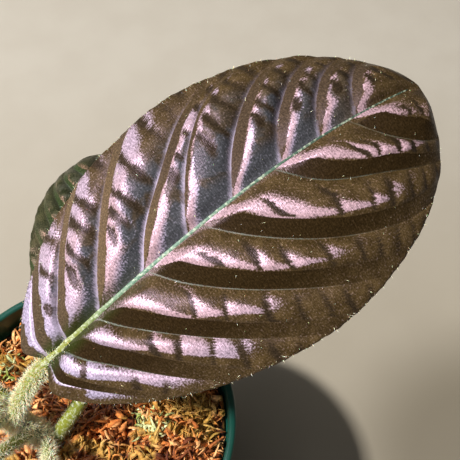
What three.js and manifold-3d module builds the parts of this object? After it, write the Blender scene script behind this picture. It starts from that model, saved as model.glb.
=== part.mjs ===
// A potted ardisia: a young plant with quilted, metallic leaves on woolly stalks, in a round nursery pot.
// Millimetres, +Z up. The origin is on the pot's axis, at the level that the pot stands on.
// Pot, moss, stem, leaves, young leaf and bud are separate closed bodies, about 0.3 mm clear of each other.

import * as THREE from "three";
import { mergeVertices } from "three/addons/utils/BufferGeometryUtils.js";
import Module from "manifold-3d";

const wasm = await Module();
wasm.setup();

// Driving sizes
const CLEARANCE = 0.3; // between neighbouring pieces
const BLADE_THICKNESS = 0.85; // along the blade's own upward direction
const POT = {
  height: 76,
  rimRadius: 44.5,
  rimHeight: 11, // the band round the mouth
  wall: 1.9,
  shoulderRadius: 41.6, // outside, just under the band
  footRadius: 31,
  footHeight: 2, // how far the floor stands clear of the table
  floor: 1.7,
  drainHoles: 6,
  drainRadius: 4,
  drainCircle: 18.5,
  sectors: 48,
};
const MOSS = {
  level: 66.5, // of the hollows between the lumps
  lumps: 90,
  lumpHeight: [1.2, 4.2],
  lumpRadius: [4, 8.5],
  rings: 13,
  sectors: 60,
};
const STEM = {
  // from inside the moss up to the growing point, leaning as the photographed plant does
  path: [
    [-8.2, -5.5, 48],
    [-8.2, -5.5, 58],
    [-8.4, -5.4, 67],
    [-10.6, -4.7, 74],
    [-14.6, -3.4, 80],
    [-18.4, -2.3, 84.6],
    [-21.4, -1.4, 89],
  ],
  radius: [3.1, 2.2],
  sides: 12,
  steps: 14,
};

// The two halves of a blade: the share of its length that it is wide, where it is widest,
// and how full it is towards the base and the tip. sweep is how far the side veins run forward.
const UPPER_HALF = {
  width: 0.279,
  widest: 0.495,
  baseFullness: 2.27,
  tipFullness: 1.83,
  tipRoundness: 0.69,
  sweep: 0.83,
};
const LOWER_HALF = {
  width: 0.337,
  widest: 0.547,
  baseFullness: 1.79,
  tipFullness: 1.7,
  tipRoundness: 0.42,
  sweep: 1.22,
};
const PLAIN_HALF = {
  width: 0.3,
  widest: 0.52,
  baseFullness: 2,
  tipFullness: 1.9,
  tipRoundness: 0.62,
  sweep: 1,
};

// Each leaf: where its blade starts, its compass heading, the slope of its midrib at the base and how
// much it falls by the tip, its roll about the midrib, its length, where its stalk leaves the stem
// (0 at the moss, 1 at the top), and where its side veins leave the midrib, in shares of the length.
const LEAVES = [
  {
    name: "leaf_1",
    base: [-4.5, 4.6, 110.7],
    heading: 33.4,
    rise: 30,
    fall: 42,
    roll: -12,
    length: 122.7,
    left: UPPER_HALF,
    right: LOWER_HALF,
    leftVeins: [0.028, 0.069, 0.167, 0.305, 0.406, 0.516, 0.643, 0.739, 0.83],
    rightVeins: [0.043, 0.141, 0.268, 0.35, 0.434, 0.63, 0.808],
    stalkFrom: 0.76,
    stalkRadius: 1.65,
    leave: [0.3, 0.2, 0.93],
    quilt: 2.3,
    columns: 9,
    rowGap: 0.022,
  },
  {
    name: "leaf_2",
    base: [3.3, 7.6, 92.7],
    heading: 92,
    rise: 22,
    fall: 56,
    roll: 4,
    length: 75,
    left: PLAIN_HALF,
    right: PLAIN_HALF,
    leftVeins: [0.05, 0.13, 0.25, 0.39, 0.53, 0.68, 0.81],
    rightVeins: [0.04, 0.18, 0.32, 0.46, 0.6, 0.75],
    stalkFrom: 0.12,
    stalkRadius: 1.5,
    leave: [0.45, 0.35, 0.82],
    quilt: 1.7,
    columns: 6,
    rowGap: 0.045,
  },
  {
    name: "leaf_3",
    base: [-37, 7, 101],
    heading: 163,
    rise: 26,
    fall: 58,
    roll: 8,
    length: 82,
    left: PLAIN_HALF,
    right: PLAIN_HALF,
    leftVeins: [0.04, 0.14, 0.27, 0.4, 0.55, 0.7, 0.82],
    rightVeins: [0.06, 0.2, 0.34, 0.48, 0.63, 0.77],
    stalkFrom: 0.6,
    stalkRadius: 1.5,
    leave: [-0.3, 0.85, 0.42],
    quilt: 1.9,
    columns: 6,
    rowGap: 0.045,
  },
  {
    name: "leaf_4",
    base: [-24, -20.5, 95],
    heading: 229,
    rise: 20,
    fall: 54,
    roll: -6,
    length: 96,
    left: PLAIN_HALF,
    right: PLAIN_HALF,
    leftVeins: [0.04, 0.12, 0.24, 0.37, 0.5, 0.64, 0.78],
    rightVeins: [0.05, 0.17, 0.3, 0.43, 0.57, 0.71, 0.83],
    stalkFrom: 0.46,
    stalkRadius: 1.6,
    leave: [-0.45, -0.5, 0.74],
    quilt: 2,
    columns: 6,
    rowGap: 0.045,
  },
  {
    name: "leaf_5",
    base: [-1.5, -24.5, 97],
    heading: 297,
    rise: 25,
    fall: 58,
    roll: 7,
    length: 88,
    left: PLAIN_HALF,
    right: PLAIN_HALF,
    leftVeins: [0.05, 0.15, 0.28, 0.42, 0.56, 0.7, 0.83],
    rightVeins: [0.04, 0.13, 0.25, 0.38, 0.52, 0.66, 0.79],
    stalkFrom: 0.28,
    stalkRadius: 1.55,
    leave: [0.3, -0.62, 0.72],
    quilt: 1.9,
    columns: 6,
    rowGap: 0.045,
  },
  {
    name: "young_leaf",
    base: [-26, -8.5, 99],
    heading: 205,
    rise: 62,
    fall: 44,
    roll: -10,
    length: 31,
    left: { ...PLAIN_HALF, width: 0.2 },
    right: { ...PLAIN_HALF, width: 0.2 },
    leftVeins: [0.08, 0.25, 0.45, 0.66],
    rightVeins: [0.15, 0.35, 0.55, 0.76],
    stalkFrom: 0.9,
    stalkRadius: 1,
    leave: [-0.15, -0.8, 0.55],
    quilt: 0.7,
    columns: 4,
    rowGap: 0.06,
    fold: 34,
  },
];
const FOLD = 9; // degrees that each half rises beside the midrib, unless its leaf gives its own
const DROOP = 32; // degrees that the margin has turned down against the blade's middle
const BACK_LOBE = 6; // how far the blade's base reaches back beside the stalk, in mm at most
const BACK_SPAN = 0.08; // over which share of the length that fades
const LOBE_WIDTH = 8; // mm beside the midrib where the lobe is whole
const RIB_TIP_RADIUS = 0.45; // the midrib under the blade, at the tip
const RIB_SEAT = 0.75; // of its radius that the midrib's middle lies under the blade's face
const FINGER_SHARE = 0.34; // of the quilting that the cross ridges between two side veins take
const FINGER_SLANT = 0.12; // how far a cross ridge runs outwards from one side vein to the next

// Colours, read off the photograph
const COLOURS = {
  pot: 0x1f4a40,
  moss: 0xa4703a,
  stem: 0x9aa55a,
  leaf: 0x4a3a2c,
  young: 0xb9b27c,
  bud: 0xe2d8b4,
};

// The same number between 0 and 1 for the same seed.
function chance(seed) {
  const value = Math.sin(seed * 12.9898) * 43758.5453;
  return value - Math.floor(value);
}

function smooth(from, to, value) {
  return THREE.MathUtils.smoothstep(value, from, to);
}

function solidFrom(geometry) {
  const bare = geometry.clone();
  bare.deleteAttribute("normal");
  bare.deleteAttribute("uv");
  const merged = mergeVertices(bare, 1e-4);
  return new wasm.Manifold(
    new wasm.Mesh({
      numProp: 3,
      vertProperties: merged.attributes.position.array,
      triVerts: new Uint32Array(merged.index.array),
    }),
  );
}

function geometryFrom(solid) {
  const mesh = solid.getMesh();
  const geometry = new THREE.BufferGeometry();
  geometry.setAttribute("position", new THREE.BufferAttribute(mesh.vertProperties, 3));
  geometry.setIndex(new THREE.BufferAttribute(mesh.triVerts, 1));
  geometry.computeVertexNormals();
  return geometry;
}

function closedGeometry(positions, faces) {
  const geometry = new THREE.BufferGeometry();
  const coordinates = positions.flatMap((point) => [point.x, point.y, point.z]);
  geometry.setAttribute("position", new THREE.Float32BufferAttribute(coordinates, 3));
  geometry.setIndex(faces);
  return geometry;
}

// A closed round bar along a row of centres, each ring with its own radius.
function barGeometry(centres, radii, sides) {
  const positions = [];
  const faces = [];
  const normal = new THREE.Vector3(1, 0.2, 0);
  centres.forEach((centre, i) => {
    const before = centres[Math.max(i - 1, 0)];
    const after = centres[Math.min(i + 1, centres.length - 1)];
    const tangent = after.clone().sub(before).normalize();
    normal.addScaledVector(tangent, -normal.dot(tangent)).normalize();
    const binormal = tangent.clone().cross(normal);
    for (let k = 0; k < sides; k++) {
      const angle = (2 * Math.PI * k) / sides;
      positions.push(
        centre
          .clone()
          .addScaledVector(normal, radii[i] * Math.cos(angle))
          .addScaledVector(binormal, radii[i] * Math.sin(angle)),
      );
    }
  });
  const start = positions.push(centres[0].clone()) - 1;
  const end = positions.push(centres.at(-1).clone()) - 1;
  const lastRing = (centres.length - 1) * sides;
  for (let k = 0; k < sides; k++) {
    const next = (k + 1) % sides;
    faces.push(start, next, k);
    faces.push(end, lastRing + k, lastRing + next);
    for (let ring = 0; ring < lastRing; ring += sides) {
      faces.push(ring + k, ring + next, ring + sides + next);
      faces.push(ring + k, ring + sides + next, ring + sides + k);
    }
  }
  return closedGeometry(positions, faces);
}

// The pot's inner wall, as radius and height: above the floor, under the rim's band, and in the band.
const bandFoot = POT.height - POT.rimHeight;
const floorTop = POT.footHeight + POT.floor;
const INSIDE = {
  low: [POT.footRadius - 1.2, floorTop + 2],
  shoulder: [POT.shoulderRadius - POT.wall, bandFoot - 1],
  band: [POT.rimRadius - 2.5, bandFoot + 1.5],
};

// Pot: one moulded shell, from the underside's middle out, up the wall, over the rim and down inside.
function potGeometry() {
  const { height, rimRadius, footRadius, footHeight } = POT;
  const profile = [
    [0, 0],
    [9, 0],
    [10.2, footHeight],
    [footRadius - 5, footHeight],
    [footRadius - 4, 0],
    [footRadius - 0.6, 0],
    [footRadius, 0.8],
    [POT.shoulderRadius, bandFoot],
    [rimRadius - 1.5, bandFoot + 0.7],
    [rimRadius - 0.7, height - 2.4],
    [rimRadius, height - 1.9],
    [rimRadius, height - 0.5],
    [rimRadius - 0.5, height],
    [rimRadius - 1.7, height],
    [rimRadius - 2.2, height - 0.6],
    INSIDE.band,
    INSIDE.shoulder,
    INSIDE.low,
    [footRadius - 3, floorTop],
    [0, floorTop],
  ];
  const points = profile.map(([x, z]) => new THREE.Vector2(x, z));
  let pot = solidFrom(new THREE.LatheGeometry(points, POT.sectors).rotateX(Math.PI / 2));
  for (let hole = 0; hole < POT.drainHoles; hole++) {
    const angle = (2 * Math.PI * (hole + 0.5)) / POT.drainHoles;
    const drain = new THREE.CylinderGeometry(POT.drainRadius, POT.drainRadius, 12, 14);
    drain.rotateX(Math.PI / 2);
    drain.translate(POT.drainCircle * Math.cos(angle), POT.drainCircle * Math.sin(angle), 2);
    pot = pot.subtract(solidFrom(drain));
  }
  return geometryFrom(pot);
}

// The pot's inside radius at a height, less the clearance: what the moss fills.
function insideRadius(z) {
  const { low, shoulder, band } = INSIDE;
  const between = (a, b) => a[0] + ((b[0] - a[0]) * (z - a[1])) / (b[1] - a[1]);
  const wall = z < shoulder[1] ? between(low, shoulder) : Math.min(between(shoulder, band), band[0]);
  return wall - CLEARANCE;
}

// Potting moss: a plug with a lumpy top, each lump a rounded heap of moss at its own place.
function mossHeight(x, y) {
  const reach = INSIDE.shoulder[0];
  let height = 0;
  for (let lump = 0; lump < MOSS.lumps; lump++) {
    const angle = 2 * Math.PI * chance(lump + 0.3);
    const distance = reach * Math.sqrt(chance(lump + 0.7));
    const radius = THREE.MathUtils.lerp(...MOSS.lumpRadius, chance(lump + 0.5));
    const top = THREE.MathUtils.lerp(...MOSS.lumpHeight, chance(lump + 0.9));
    const away = Math.hypot(x - distance * Math.cos(angle), y - distance * Math.sin(angle)) / radius;
    if (away < 1) height = Math.max(height, top * (1 - away * away));
  }
  return MOSS.level + height;
}

function mossGeometry(stemClear) {
  const { rings, sectors } = MOSS;
  const positions = [];
  const faces = [];
  const place = (radius, sector, z) => {
    const angle = (2 * Math.PI * sector) / sectors;
    return positions.push(new THREE.Vector3(radius * Math.cos(angle), radius * Math.sin(angle), z)) - 1;
  };
  const edge = insideRadius(MOSS.level - 2);
  const bottom = INSIDE.low[1] + CLEARANCE;
  const levels = [58, 40, 20, bottom]; // of the plug's sides, down to its underside
  const belt = [];
  const topMiddle = place(0, 0, mossHeight(0, 0));
  for (let ring = 1; ring <= rings; ring++) {
    const radius = (edge * ring) / rings;
    const row = [];
    for (let sector = 0; sector < sectors; sector++) {
      const angle = (2 * Math.PI * sector) / sectors;
      const height = mossHeight(radius * Math.cos(angle), radius * Math.sin(angle));
      row.push(place(radius, sector, ring === rings ? MOSS.level : height));
    }
    belt.push(row);
  }
  for (const level of levels) {
    const row = [];
    for (let sector = 0; sector < sectors; sector++) row.push(place(insideRadius(level), sector, level));
    belt.push(row);
  }
  const bottomMiddle = place(0, 0, bottom);
  for (let sector = 0; sector < sectors; sector++) {
    const next = (sector + 1) % sectors;
    faces.push(topMiddle, belt[0][sector], belt[0][next]);
    faces.push(bottomMiddle, belt.at(-1)[next], belt.at(-1)[sector]);
    for (let row = 1; row < belt.length; row++) {
      const [inner, outer] = [belt[row - 1], belt[row]];
      faces.push(inner[sector], outer[sector], outer[next]);
      faces.push(inner[sector], outer[next], inner[next]);
    }
  }
  return geometryFrom(solidFrom(closedGeometry(positions, faces)).subtract(stemClear));
}

// Stem: a round bar that leans out of the moss, with the leaf stalks round it.
const stemCurve = new THREE.CatmullRomCurve3(STEM.path.map((point) => new THREE.Vector3(...point)));
const MOSS_SHARE = 0.43; // of the stem's path that stands in the moss

// extra makes it fatter and longer, for what has to keep clear of it.
function stemGeometry(extra) {
  const centres = stemCurve.getSpacedPoints(STEM.steps);
  const radii = centres.map((_, i) => THREE.MathUtils.lerp(...STEM.radius, i / STEM.steps) + extra);
  if (extra) {
    const down = centres[0].clone().sub(centres[1]).normalize();
    centres[0].addScaledVector(down, extra);
    const up = centres.at(-1).clone().sub(centres.at(-2)).normalize();
    centres.at(-1).addScaledVector(up, extra);
  }
  return barGeometry(centres, radii, STEM.sides);
}

// Half a blade's width at a share t of its length, in shares of the length.
function halfWidth(half, t) {
  if (t < half.widest) {
    return half.width * Math.sqrt(1 - ((half.widest - t) / half.widest) ** half.baseFullness);
  }
  const past = Math.min((t - half.widest) / (1 - half.widest), 1);
  return half.width * (1 - past ** half.tipFullness) ** half.tipRoundness;
}

// A side vein that leaves the midrib at start crosses the share q of the half blade at this place.
// The basal veins run out first and turn forward late, and those near the tip run forward less.
function alongVein(half, start, q) {
  const forward = half.sweep * start ** 0.51 * (1 - start) ** 1.15;
  const bend = 1.23 + 0.95 * Math.exp(-start / 0.15);
  return start + forward * q ** bend;
}

// Which two side veins a place lies between, and how far from the one to the other.
const VEIN_SPREAD = 1 / 2.2; // starts are spaced evenly on this power of their share
function betweenVeins(veins, start) {
  const bounds = [0, ...veins, 1].map((vein) => vein ** VEIN_SPREAD);
  const place = start ** VEIN_SPREAD;
  let panel = 0;
  while (panel < veins.length && place > bounds[panel + 1]) panel++;
  const phase = (place - bounds[panel]) / (bounds[panel + 1] - bounds[panel]);
  return { panel, phase };
}

// The quilting: each panel between two veins is an arch, broken into slanting fingers.
function relief(leaf, side, start, q) {
  const half = side > 0 ? leaf.left : leaf.right;
  const veins = side > 0 ? leaf.leftVeins : leaf.rightVeins;
  const { panel, phase } = betweenVeins(veins, start);
  const bounds = [0, ...veins, 1];
  const spacing = (bounds[panel + 1] - bounds[panel]) * leaf.length;
  const arch = 4 * phase * (1 - phase);
  const width = halfWidth(half, alongVein(half, start, q)) / half.width;
  const envelope = smooth(0, 0.16, q) * (1 - 0.6 * q ** 3) * Math.sqrt(width);
  const ridge = (leaf.columns / 2) * (q + FINGER_SLANT * (phase - 0.5)) + panel / 2;
  const finger = 0.5 - 0.5 * Math.cos(2 * Math.PI * ridge);
  const height = leaf.quilt * Math.min(1, 0.35 + spacing / 20);
  return height * envelope * arch * (1 - FINGER_SHARE * finger);
}

// Where the midrib starts its side veins' rows in the mesh: every vein, and points between them.
function rowStarts(leaf) {
  const nearBase = [0.0006, 0.0025, 0.007, 0.015];
  const starts = [...leaf.leftVeins, ...leaf.rightVeins];
  const kept = [0, 1, ...nearBase];
  const power = (value) => value ** VEIN_SPREAD;
  const add = (value, gap) => {
    if (kept.every((other) => Math.abs(power(other) - power(value)) > gap)) kept.push(value);
  };
  starts.forEach((start) => add(start, 0.008));
  for (const veins of [leaf.leftVeins, leaf.rightVeins]) {
    const bounds = [0, ...veins, 1];
    for (let panel = 0; panel <= veins.length; panel++) {
      for (const phase of [0.5, 0.25, 0.75]) {
        const middle = power(bounds[panel]) * (1 - phase) + power(bounds[panel + 1]) * phase;
        add(middle ** (1 / VEIN_SPREAD), leaf.rowGap);
      }
    }
  }
  return kept.sort((a, b) => a - b);
}

// The midrib's course and the blade's own directions at a share t of its length.
function midrib(leaf) {
  const steps = 120;
  const rise = THREE.MathUtils.degToRad(leaf.rise);
  const fall = THREE.MathUtils.degToRad(leaf.fall);
  const roll = THREE.MathUtils.degToRad(leaf.roll);
  const heading = THREE.MathUtils.degToRad(leaf.heading);
  const forward = new THREE.Vector3(Math.cos(heading), Math.sin(heading), 0);
  const sideways = new THREE.Vector3(-forward.y, forward.x, 0);
  const up = new THREE.Vector3(0, 0, 1);
  const slope = (t) => rise - fall * t * t;
  const course = [new THREE.Vector3(...leaf.base)];
  for (let step = 0; step < steps; step++) {
    const angle = slope((step + 0.5) / steps);
    const stride = leaf.length / steps;
    const next = course.at(-1).clone();
    next.addScaledVector(forward, stride * Math.cos(angle)).addScaledVector(up, stride * Math.sin(angle));
    course.push(next);
  }
  return (distance) => {
    const t = THREE.MathUtils.clamp(distance / leaf.length, 0, 1);
    const angle = slope(t);
    const tangent = forward.clone().multiplyScalar(Math.cos(angle)).addScaledVector(up, Math.sin(angle));
    const level = forward.clone().multiplyScalar(-Math.sin(angle)).addScaledVector(up, Math.cos(angle));
    const normal = level.clone().multiplyScalar(Math.cos(roll)).addScaledVector(sideways, Math.sin(roll));
    const left = sideways.clone().multiplyScalar(Math.cos(roll)).addScaledVector(level, -Math.sin(roll));
    const exact = t * steps;
    const whole = Math.min(Math.floor(exact), steps - 1);
    const point = course[whole].clone().lerp(course[whole + 1], exact - whole);
    if (distance < 0) point.addScaledVector(tangent, distance);
    return { point, tangent, normal, left };
  };
}

// A point of the blade's upper face: side 1 is the left half, -1 the right one, q runs out to the margin.
function bladePoint(leaf, frameAt, side, start, q, lift) {
  const half = side > 0 ? leaf.left : leaf.right;
  const t = alongVein(half, start, q);
  const out = q * halfWidth(half, t) * leaf.length;
  const lobe = leaf.length / LEAVES[0].length; // the back lobes of a smaller leaf are smaller
  const reach = BACK_LOBE * lobe * smooth(0, LOBE_WIDTH * lobe, out) * Math.exp(-t / BACK_SPAN);
  const { point, normal, left } = frameAt(t * leaf.length - reach);
  const fold = THREE.MathUtils.degToRad(leaf.fold ?? FOLD);
  const droop = THREE.MathUtils.degToRad(DROOP);
  const sideways = side * out * (1 - (droop * q ** 1.5) ** 2 / 8);
  const height = fold * out - ((droop + fold) * out * q ** 1.5) / 2.5 + lift;
  return point.addScaledVector(left, sideways).addScaledVector(normal, height);
}

// A blade: one mesh of rows along the side veins, the same on both faces, closed round the margin.
function bladeGeometry(leaf, frameAt) {
  const starts = rowStarts(leaf);
  const lastRow = starts.length - 1;
  const across = 2 * leaf.columns;
  const positions = [];
  const faces = [];
  const order = [
    [0, 0],
    [lastRow, 0],
  ];
  // The first and last rows are one point each, at the blade's base and tip, and come first in the list.
  const at = (row, column, face) => {
    if (row === 0) return face;
    if (row === lastRow) return 2 + face;
    return 4 + 2 * ((row - 1) * (across + 1) + column) + face;
  };
  for (let row = 1; row < lastRow; row++) {
    for (let column = 0; column <= across; column++) order.push([row, column]);
  }
  for (const [row, column] of order) {
    const side = column <= leaf.columns ? 1 : -1;
    const lone = row === 0 || row === lastRow;
    const q = lone ? 0 : Math.abs(column - leaf.columns) / leaf.columns;
    const lift = lone ? 0 : relief(leaf, side, starts[row], q);
    positions.push(bladePoint(leaf, frameAt, side, starts[row], q, lift));
    positions.push(bladePoint(leaf, frameAt, side, starts[row], q, lift - BLADE_THICKNESS));
  }
  const addFace = (a, b, c) => {
    if (a !== b && b !== c && c !== a) faces.push(a, b, c);
  };
  for (let row = 0; row < lastRow; row++) {
    for (let column = 0; column < across; column++) {
      const corners = [
        [row, column],
        [row + 1, column],
        [row + 1, column + 1],
        [row, column + 1],
      ];
      const turned = (row + column) % 2 ? [1, 2, 3, 0] : [0, 1, 2, 3];
      const [a, b, c, d] = turned.map((corner) => corners[corner]);
      addFace(at(...a, 0), at(...c, 0), at(...b, 0));
      addFace(at(...a, 0), at(...d, 0), at(...c, 0));
      addFace(at(...a, 1), at(...b, 1), at(...c, 1));
      addFace(at(...a, 1), at(...c, 1), at(...d, 1));
    }
    for (const [column, here, there] of [
      [0, row, row + 1],
      [across, row + 1, row],
    ]) {
      addFace(at(here, column, 0), at(there, column, 0), at(there, column, 1));
      addFace(at(here, column, 0), at(there, column, 1), at(here, column, 1));
    }
  }
  return closedGeometry(positions, faces);
}

// Stalk and midrib: one tapering bar from the stem's axis to the blade's base and on under the blade.
const STALK = {
  steps: 10,
  sides: 8,
  footSwell: 0.12, // how much thicker it is at the stem
  startPull: 0.42, // of its reach that it keeps its first direction
  endPull: 0.22, // of its reach that it already runs in line with the midrib
};
const RIB = { steps: 14, reach: 0.94, taper: 0.6 };

function stalkGeometry(leaf, frameAt) {
  const from = stemCurve.getPointAt(MOSS_SHARE + (1 - MOSS_SHARE) * leaf.stalkFrom);
  const start = frameAt(0);
  const seatAt = (radius) => -RIB_SEAT * radius;
  const to = start.point.clone().addScaledVector(start.normal, seatAt(leaf.stalkRadius));
  const reach = from.distanceTo(to);
  const curve = new THREE.CubicBezierCurve3(
    from,
    from.clone().addScaledVector(new THREE.Vector3(...leaf.leave).normalize(), reach * STALK.startPull),
    to.clone().addScaledVector(start.tangent, -reach * STALK.endPull),
    to,
  );
  const centres = curve.getPoints(STALK.steps);
  const radii = centres.map((_, i) => leaf.stalkRadius * (1 + STALK.footSwell * (1 - i / STALK.steps)));
  for (let step = 1; step <= RIB.steps; step++) {
    const t = (step / RIB.steps) * RIB.reach;
    const radius = THREE.MathUtils.lerp(leaf.stalkRadius, RIB_TIP_RADIUS, t ** RIB.taper);
    const { point, normal } = frameAt(t * leaf.length);
    centres.push(point.addScaledVector(normal, seatAt(radius)));
    radii.push(radius);
  }
  return barGeometry(centres, radii, STALK.sides);
}

function leafGeometry(leaf, stemClear) {
  const frameAt = midrib(leaf);
  const blade = solidFrom(bladeGeometry(leaf, frameAt));
  const stalk = solidFrom(stalkGeometry(leaf, frameAt));
  return geometryFrom(blade.add(stalk).subtract(stemClear));
}

// Bud: pointed woolly scales that overlap round the growing point.
function budGeometry(stemClear) {
  const tip = stemCurve.getPoint(1);
  const up = stemCurve.getTangent(1);
  const scales = [
    { turn: 20, lean: 13, length: 7.5, width: 1.7 },
    { turn: 150, lean: 15, length: 6.5, width: 1.6 },
    { turn: 265, lean: 12, length: 6, width: 1.5 },
    { turn: 80, lean: 3, length: 8.5, width: 1.4 },
  ];
  let bud = null;
  for (const { turn, lean, length, width } of scales) {
    const scale = new THREE.SphereGeometry(1, 10, 8);
    scale.scale(width, length / 2, width * 0.7);
    scale.translate(0, length / 2 - 1.2, width * 0.45);
    scale.rotateX(THREE.MathUtils.degToRad(lean));
    scale.rotateY(THREE.MathUtils.degToRad(turn));
    const aim = new THREE.Quaternion().setFromUnitVectors(new THREE.Vector3(0, 1, 0), up);
    scale.applyQuaternion(aim);
    scale.translate(tip.x, tip.y, tip.z);
    const solid = solidFrom(scale);
    bud = bud ? bud.add(solid) : solid;
  }
  return geometryFrom(bud.subtract(stemClear));
}

function piece(name, geometry, color, roughness, metalness) {
  const material = new THREE.MeshStandardMaterial({ color, roughness, metalness });
  const mesh = new THREE.Mesh(geometry, material);
  mesh.name = name;
  return mesh;
}

const stemClear = solidFrom(stemGeometry(CLEARANCE));
const plant = new THREE.Group();
plant.add(piece("pot", potGeometry(), COLOURS.pot, 0.45, 0));
plant.add(piece("potting_moss", mossGeometry(stemClear), COLOURS.moss, 0.95, 0));
plant.add(piece("stem", stemGeometry(0), COLOURS.stem, 0.8, 0));
for (const leaf of LEAVES) {
  const young = leaf.name === "young_leaf";
  const colour = young ? COLOURS.young : COLOURS.leaf;
  plant.add(piece(leaf.name, leafGeometry(leaf, stemClear), colour, 0.4, young ? 0 : 0.4));
}
plant.add(piece("bud", budGeometry(stemClear), COLOURS.bud, 0.9, 0));

export default plant;
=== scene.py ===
# Potted ardisia: the looks of the photographed plant, built over its imported frame.

# %% [markdown]
# The imported frame gives every solid of the plant in metres: the pot, the moss, the stem, the leaves and
# the bud. This lesson lays finer pieces over them, because a leaf like this one is all surface: quilting
# between the side veins, a metallic gloss on the crests, wool on the stalks.

# %% The frame
import math
from types import SimpleNamespace

import bmesh
import bpy
import numpy as np
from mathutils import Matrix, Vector


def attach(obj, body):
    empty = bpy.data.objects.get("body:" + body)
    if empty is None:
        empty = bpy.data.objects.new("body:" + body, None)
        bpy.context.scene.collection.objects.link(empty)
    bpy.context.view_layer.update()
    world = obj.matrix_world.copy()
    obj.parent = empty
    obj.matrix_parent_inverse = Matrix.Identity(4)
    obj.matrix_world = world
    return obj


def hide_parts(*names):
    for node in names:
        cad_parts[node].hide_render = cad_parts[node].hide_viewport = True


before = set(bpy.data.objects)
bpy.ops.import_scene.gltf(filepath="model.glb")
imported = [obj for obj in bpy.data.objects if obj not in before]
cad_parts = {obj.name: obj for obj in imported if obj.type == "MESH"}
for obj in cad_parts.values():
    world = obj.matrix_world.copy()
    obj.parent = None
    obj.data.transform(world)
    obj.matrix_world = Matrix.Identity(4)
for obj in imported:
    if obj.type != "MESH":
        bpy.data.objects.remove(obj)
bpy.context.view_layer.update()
scene = bpy.context.scene
print("frame nodes:", sorted(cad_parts))

# %% [markdown]
# Sizes are easiest to read in millimetres, as on the bench, and are turned to metres when a mesh is made.
# Colours are written as the hex values a colour picker shows and turned to linear light in one place.
# One small function adds every node. Where a line says nothing else, a map range eases in and out, a mix
# node mixes colours, and a math node multiplies, because nearly all of them here weigh one mask by another.

# %% Units, colours, nodes and meshes
MM = 0.001
USUAL_OPTIONS = {
    "ShaderNodeMapRange": {"interpolation_type": "SMOOTHSTEP"},
    "ShaderNodeMix": {"data_type": "RGBA"},
    "ShaderNodeMath": {"operation": "MULTIPLY"},
}
TOGETHER = 1e-6  # metres, below which two points count as one


def linear(hex_colour, alpha=1.0):
    """An sRGB hex colour as linear light."""
    parts = [int(hex_colour[i : i + 2], 16) / 255 for i in (1, 3, 5)]
    light = [c / 12.92 if c <= 0.04045 else ((c + 0.055) / 1.055) ** 2.4 for c in parts]
    return (*light, alpha)


def wire(tree, node, wires):
    """Fills a node's inputs, in order or by name: with a value, a hex colour, or the node that feeds it."""
    shown = [socket for socket in node.inputs if socket.enabled]
    named = {socket.name: socket for socket in reversed(shown)}
    pairs = [(named[k], v) for k, v in wires.items()] if isinstance(wires, dict) else zip(shown, wires)
    for socket, value in pairs:
        if isinstance(value, bpy.types.Node):
            value = next(output for output in value.outputs if output.enabled)
        if isinstance(value, bpy.types.NodeSocket):
            tree.links.new(value, socket)
        elif value is not None:
            as_colour = isinstance(value, str) and value.startswith("#")
            socket.default_value = linear(value) if as_colour else value


def add(tree, kind, *wires, **options):
    """Adds one node with its options; wires are its inputs in order, or one dict by name."""
    node = tree.nodes.new(kind)
    for name, value in {**USUAL_OPTIONS.get(kind, {}), **options}.items():
        setattr(node, name, value)
    wire(tree, node, wires[0] if wires and isinstance(wires[0], dict) else wires)
    return node


def new_finish(name):
    """A new material: its tree, its shader and the coordinates that its patterns read."""
    material = bpy.data.materials.new(name)
    material.use_nodes = True
    tree = material.node_tree
    return material, tree, tree.nodes["Principled BSDF"], add(tree, "ShaderNodeTexCoord").outputs["Object"]


def make_piece(name, points_mm, faces, material, smooth=True):
    """A mesh object in metres from points in millimetres."""
    mesh = bpy.data.meshes.new(name)
    mesh.from_pydata((np.asarray(points_mm) * MM).tolist(), [], faces)
    mesh.validate()
    mesh.materials.append(material)
    mesh.polygons.foreach_set("use_smooth", [smooth] * len(mesh.polygons))
    piece = bpy.data.objects.new(name, mesh)
    scene.collection.objects.link(piece)
    return piece


def give_values(piece, name, values, kind="FLOAT"):
    """Stores one value a point under a name that a material or a node tree reads."""
    layer = piece.data.attributes.new(name, kind, "POINT")
    field = "vector" if kind == "FLOAT_VECTOR" else "value"
    layer.data.foreach_set(field, np.asarray(values, np.float32).ravel())


def read_values(piece, name):
    return np.array([item.value for item in piece.data.attributes[name].data])


def read_places(piece):
    """Where a piece's points are, in metres."""
    return np.array([point.co for point in piece.data.vertices])


def face_outwards(piece, join=True, drop_slivers=False):
    """Turns every face outwards, after points that lie together are joined."""
    shell = bmesh.new()
    shell.from_mesh(piece.data)
    if join:
        bmesh.ops.remove_doubles(shell, verts=shell.verts, dist=TOGETHER)
    if drop_slivers:
        bmesh.ops.dissolve_degenerate(shell, dist=TOGETHER / 10, edges=shell.edges)
    bmesh.ops.recalc_face_normals(shell, faces=shell.faces)
    shell.to_mesh(piece.data)
    shell.free()


def triangles(piece):
    return sum(len(face.vertices) - 2 for face in piece.data.polygons)


def install(piece, node):
    """Puts a finished piece in place of a CAD node."""
    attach(piece, "root")
    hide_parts(node)
    print(piece.name, triangles(piece), "triangles")


# %% [markdown]
# The camera looks down on the big leaf at 60 degrees, from 0.2 m above it, with a slightly long lens.
# It was found by laying the leaf's outline and its foreshortened pot rim over the photograph.

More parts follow.
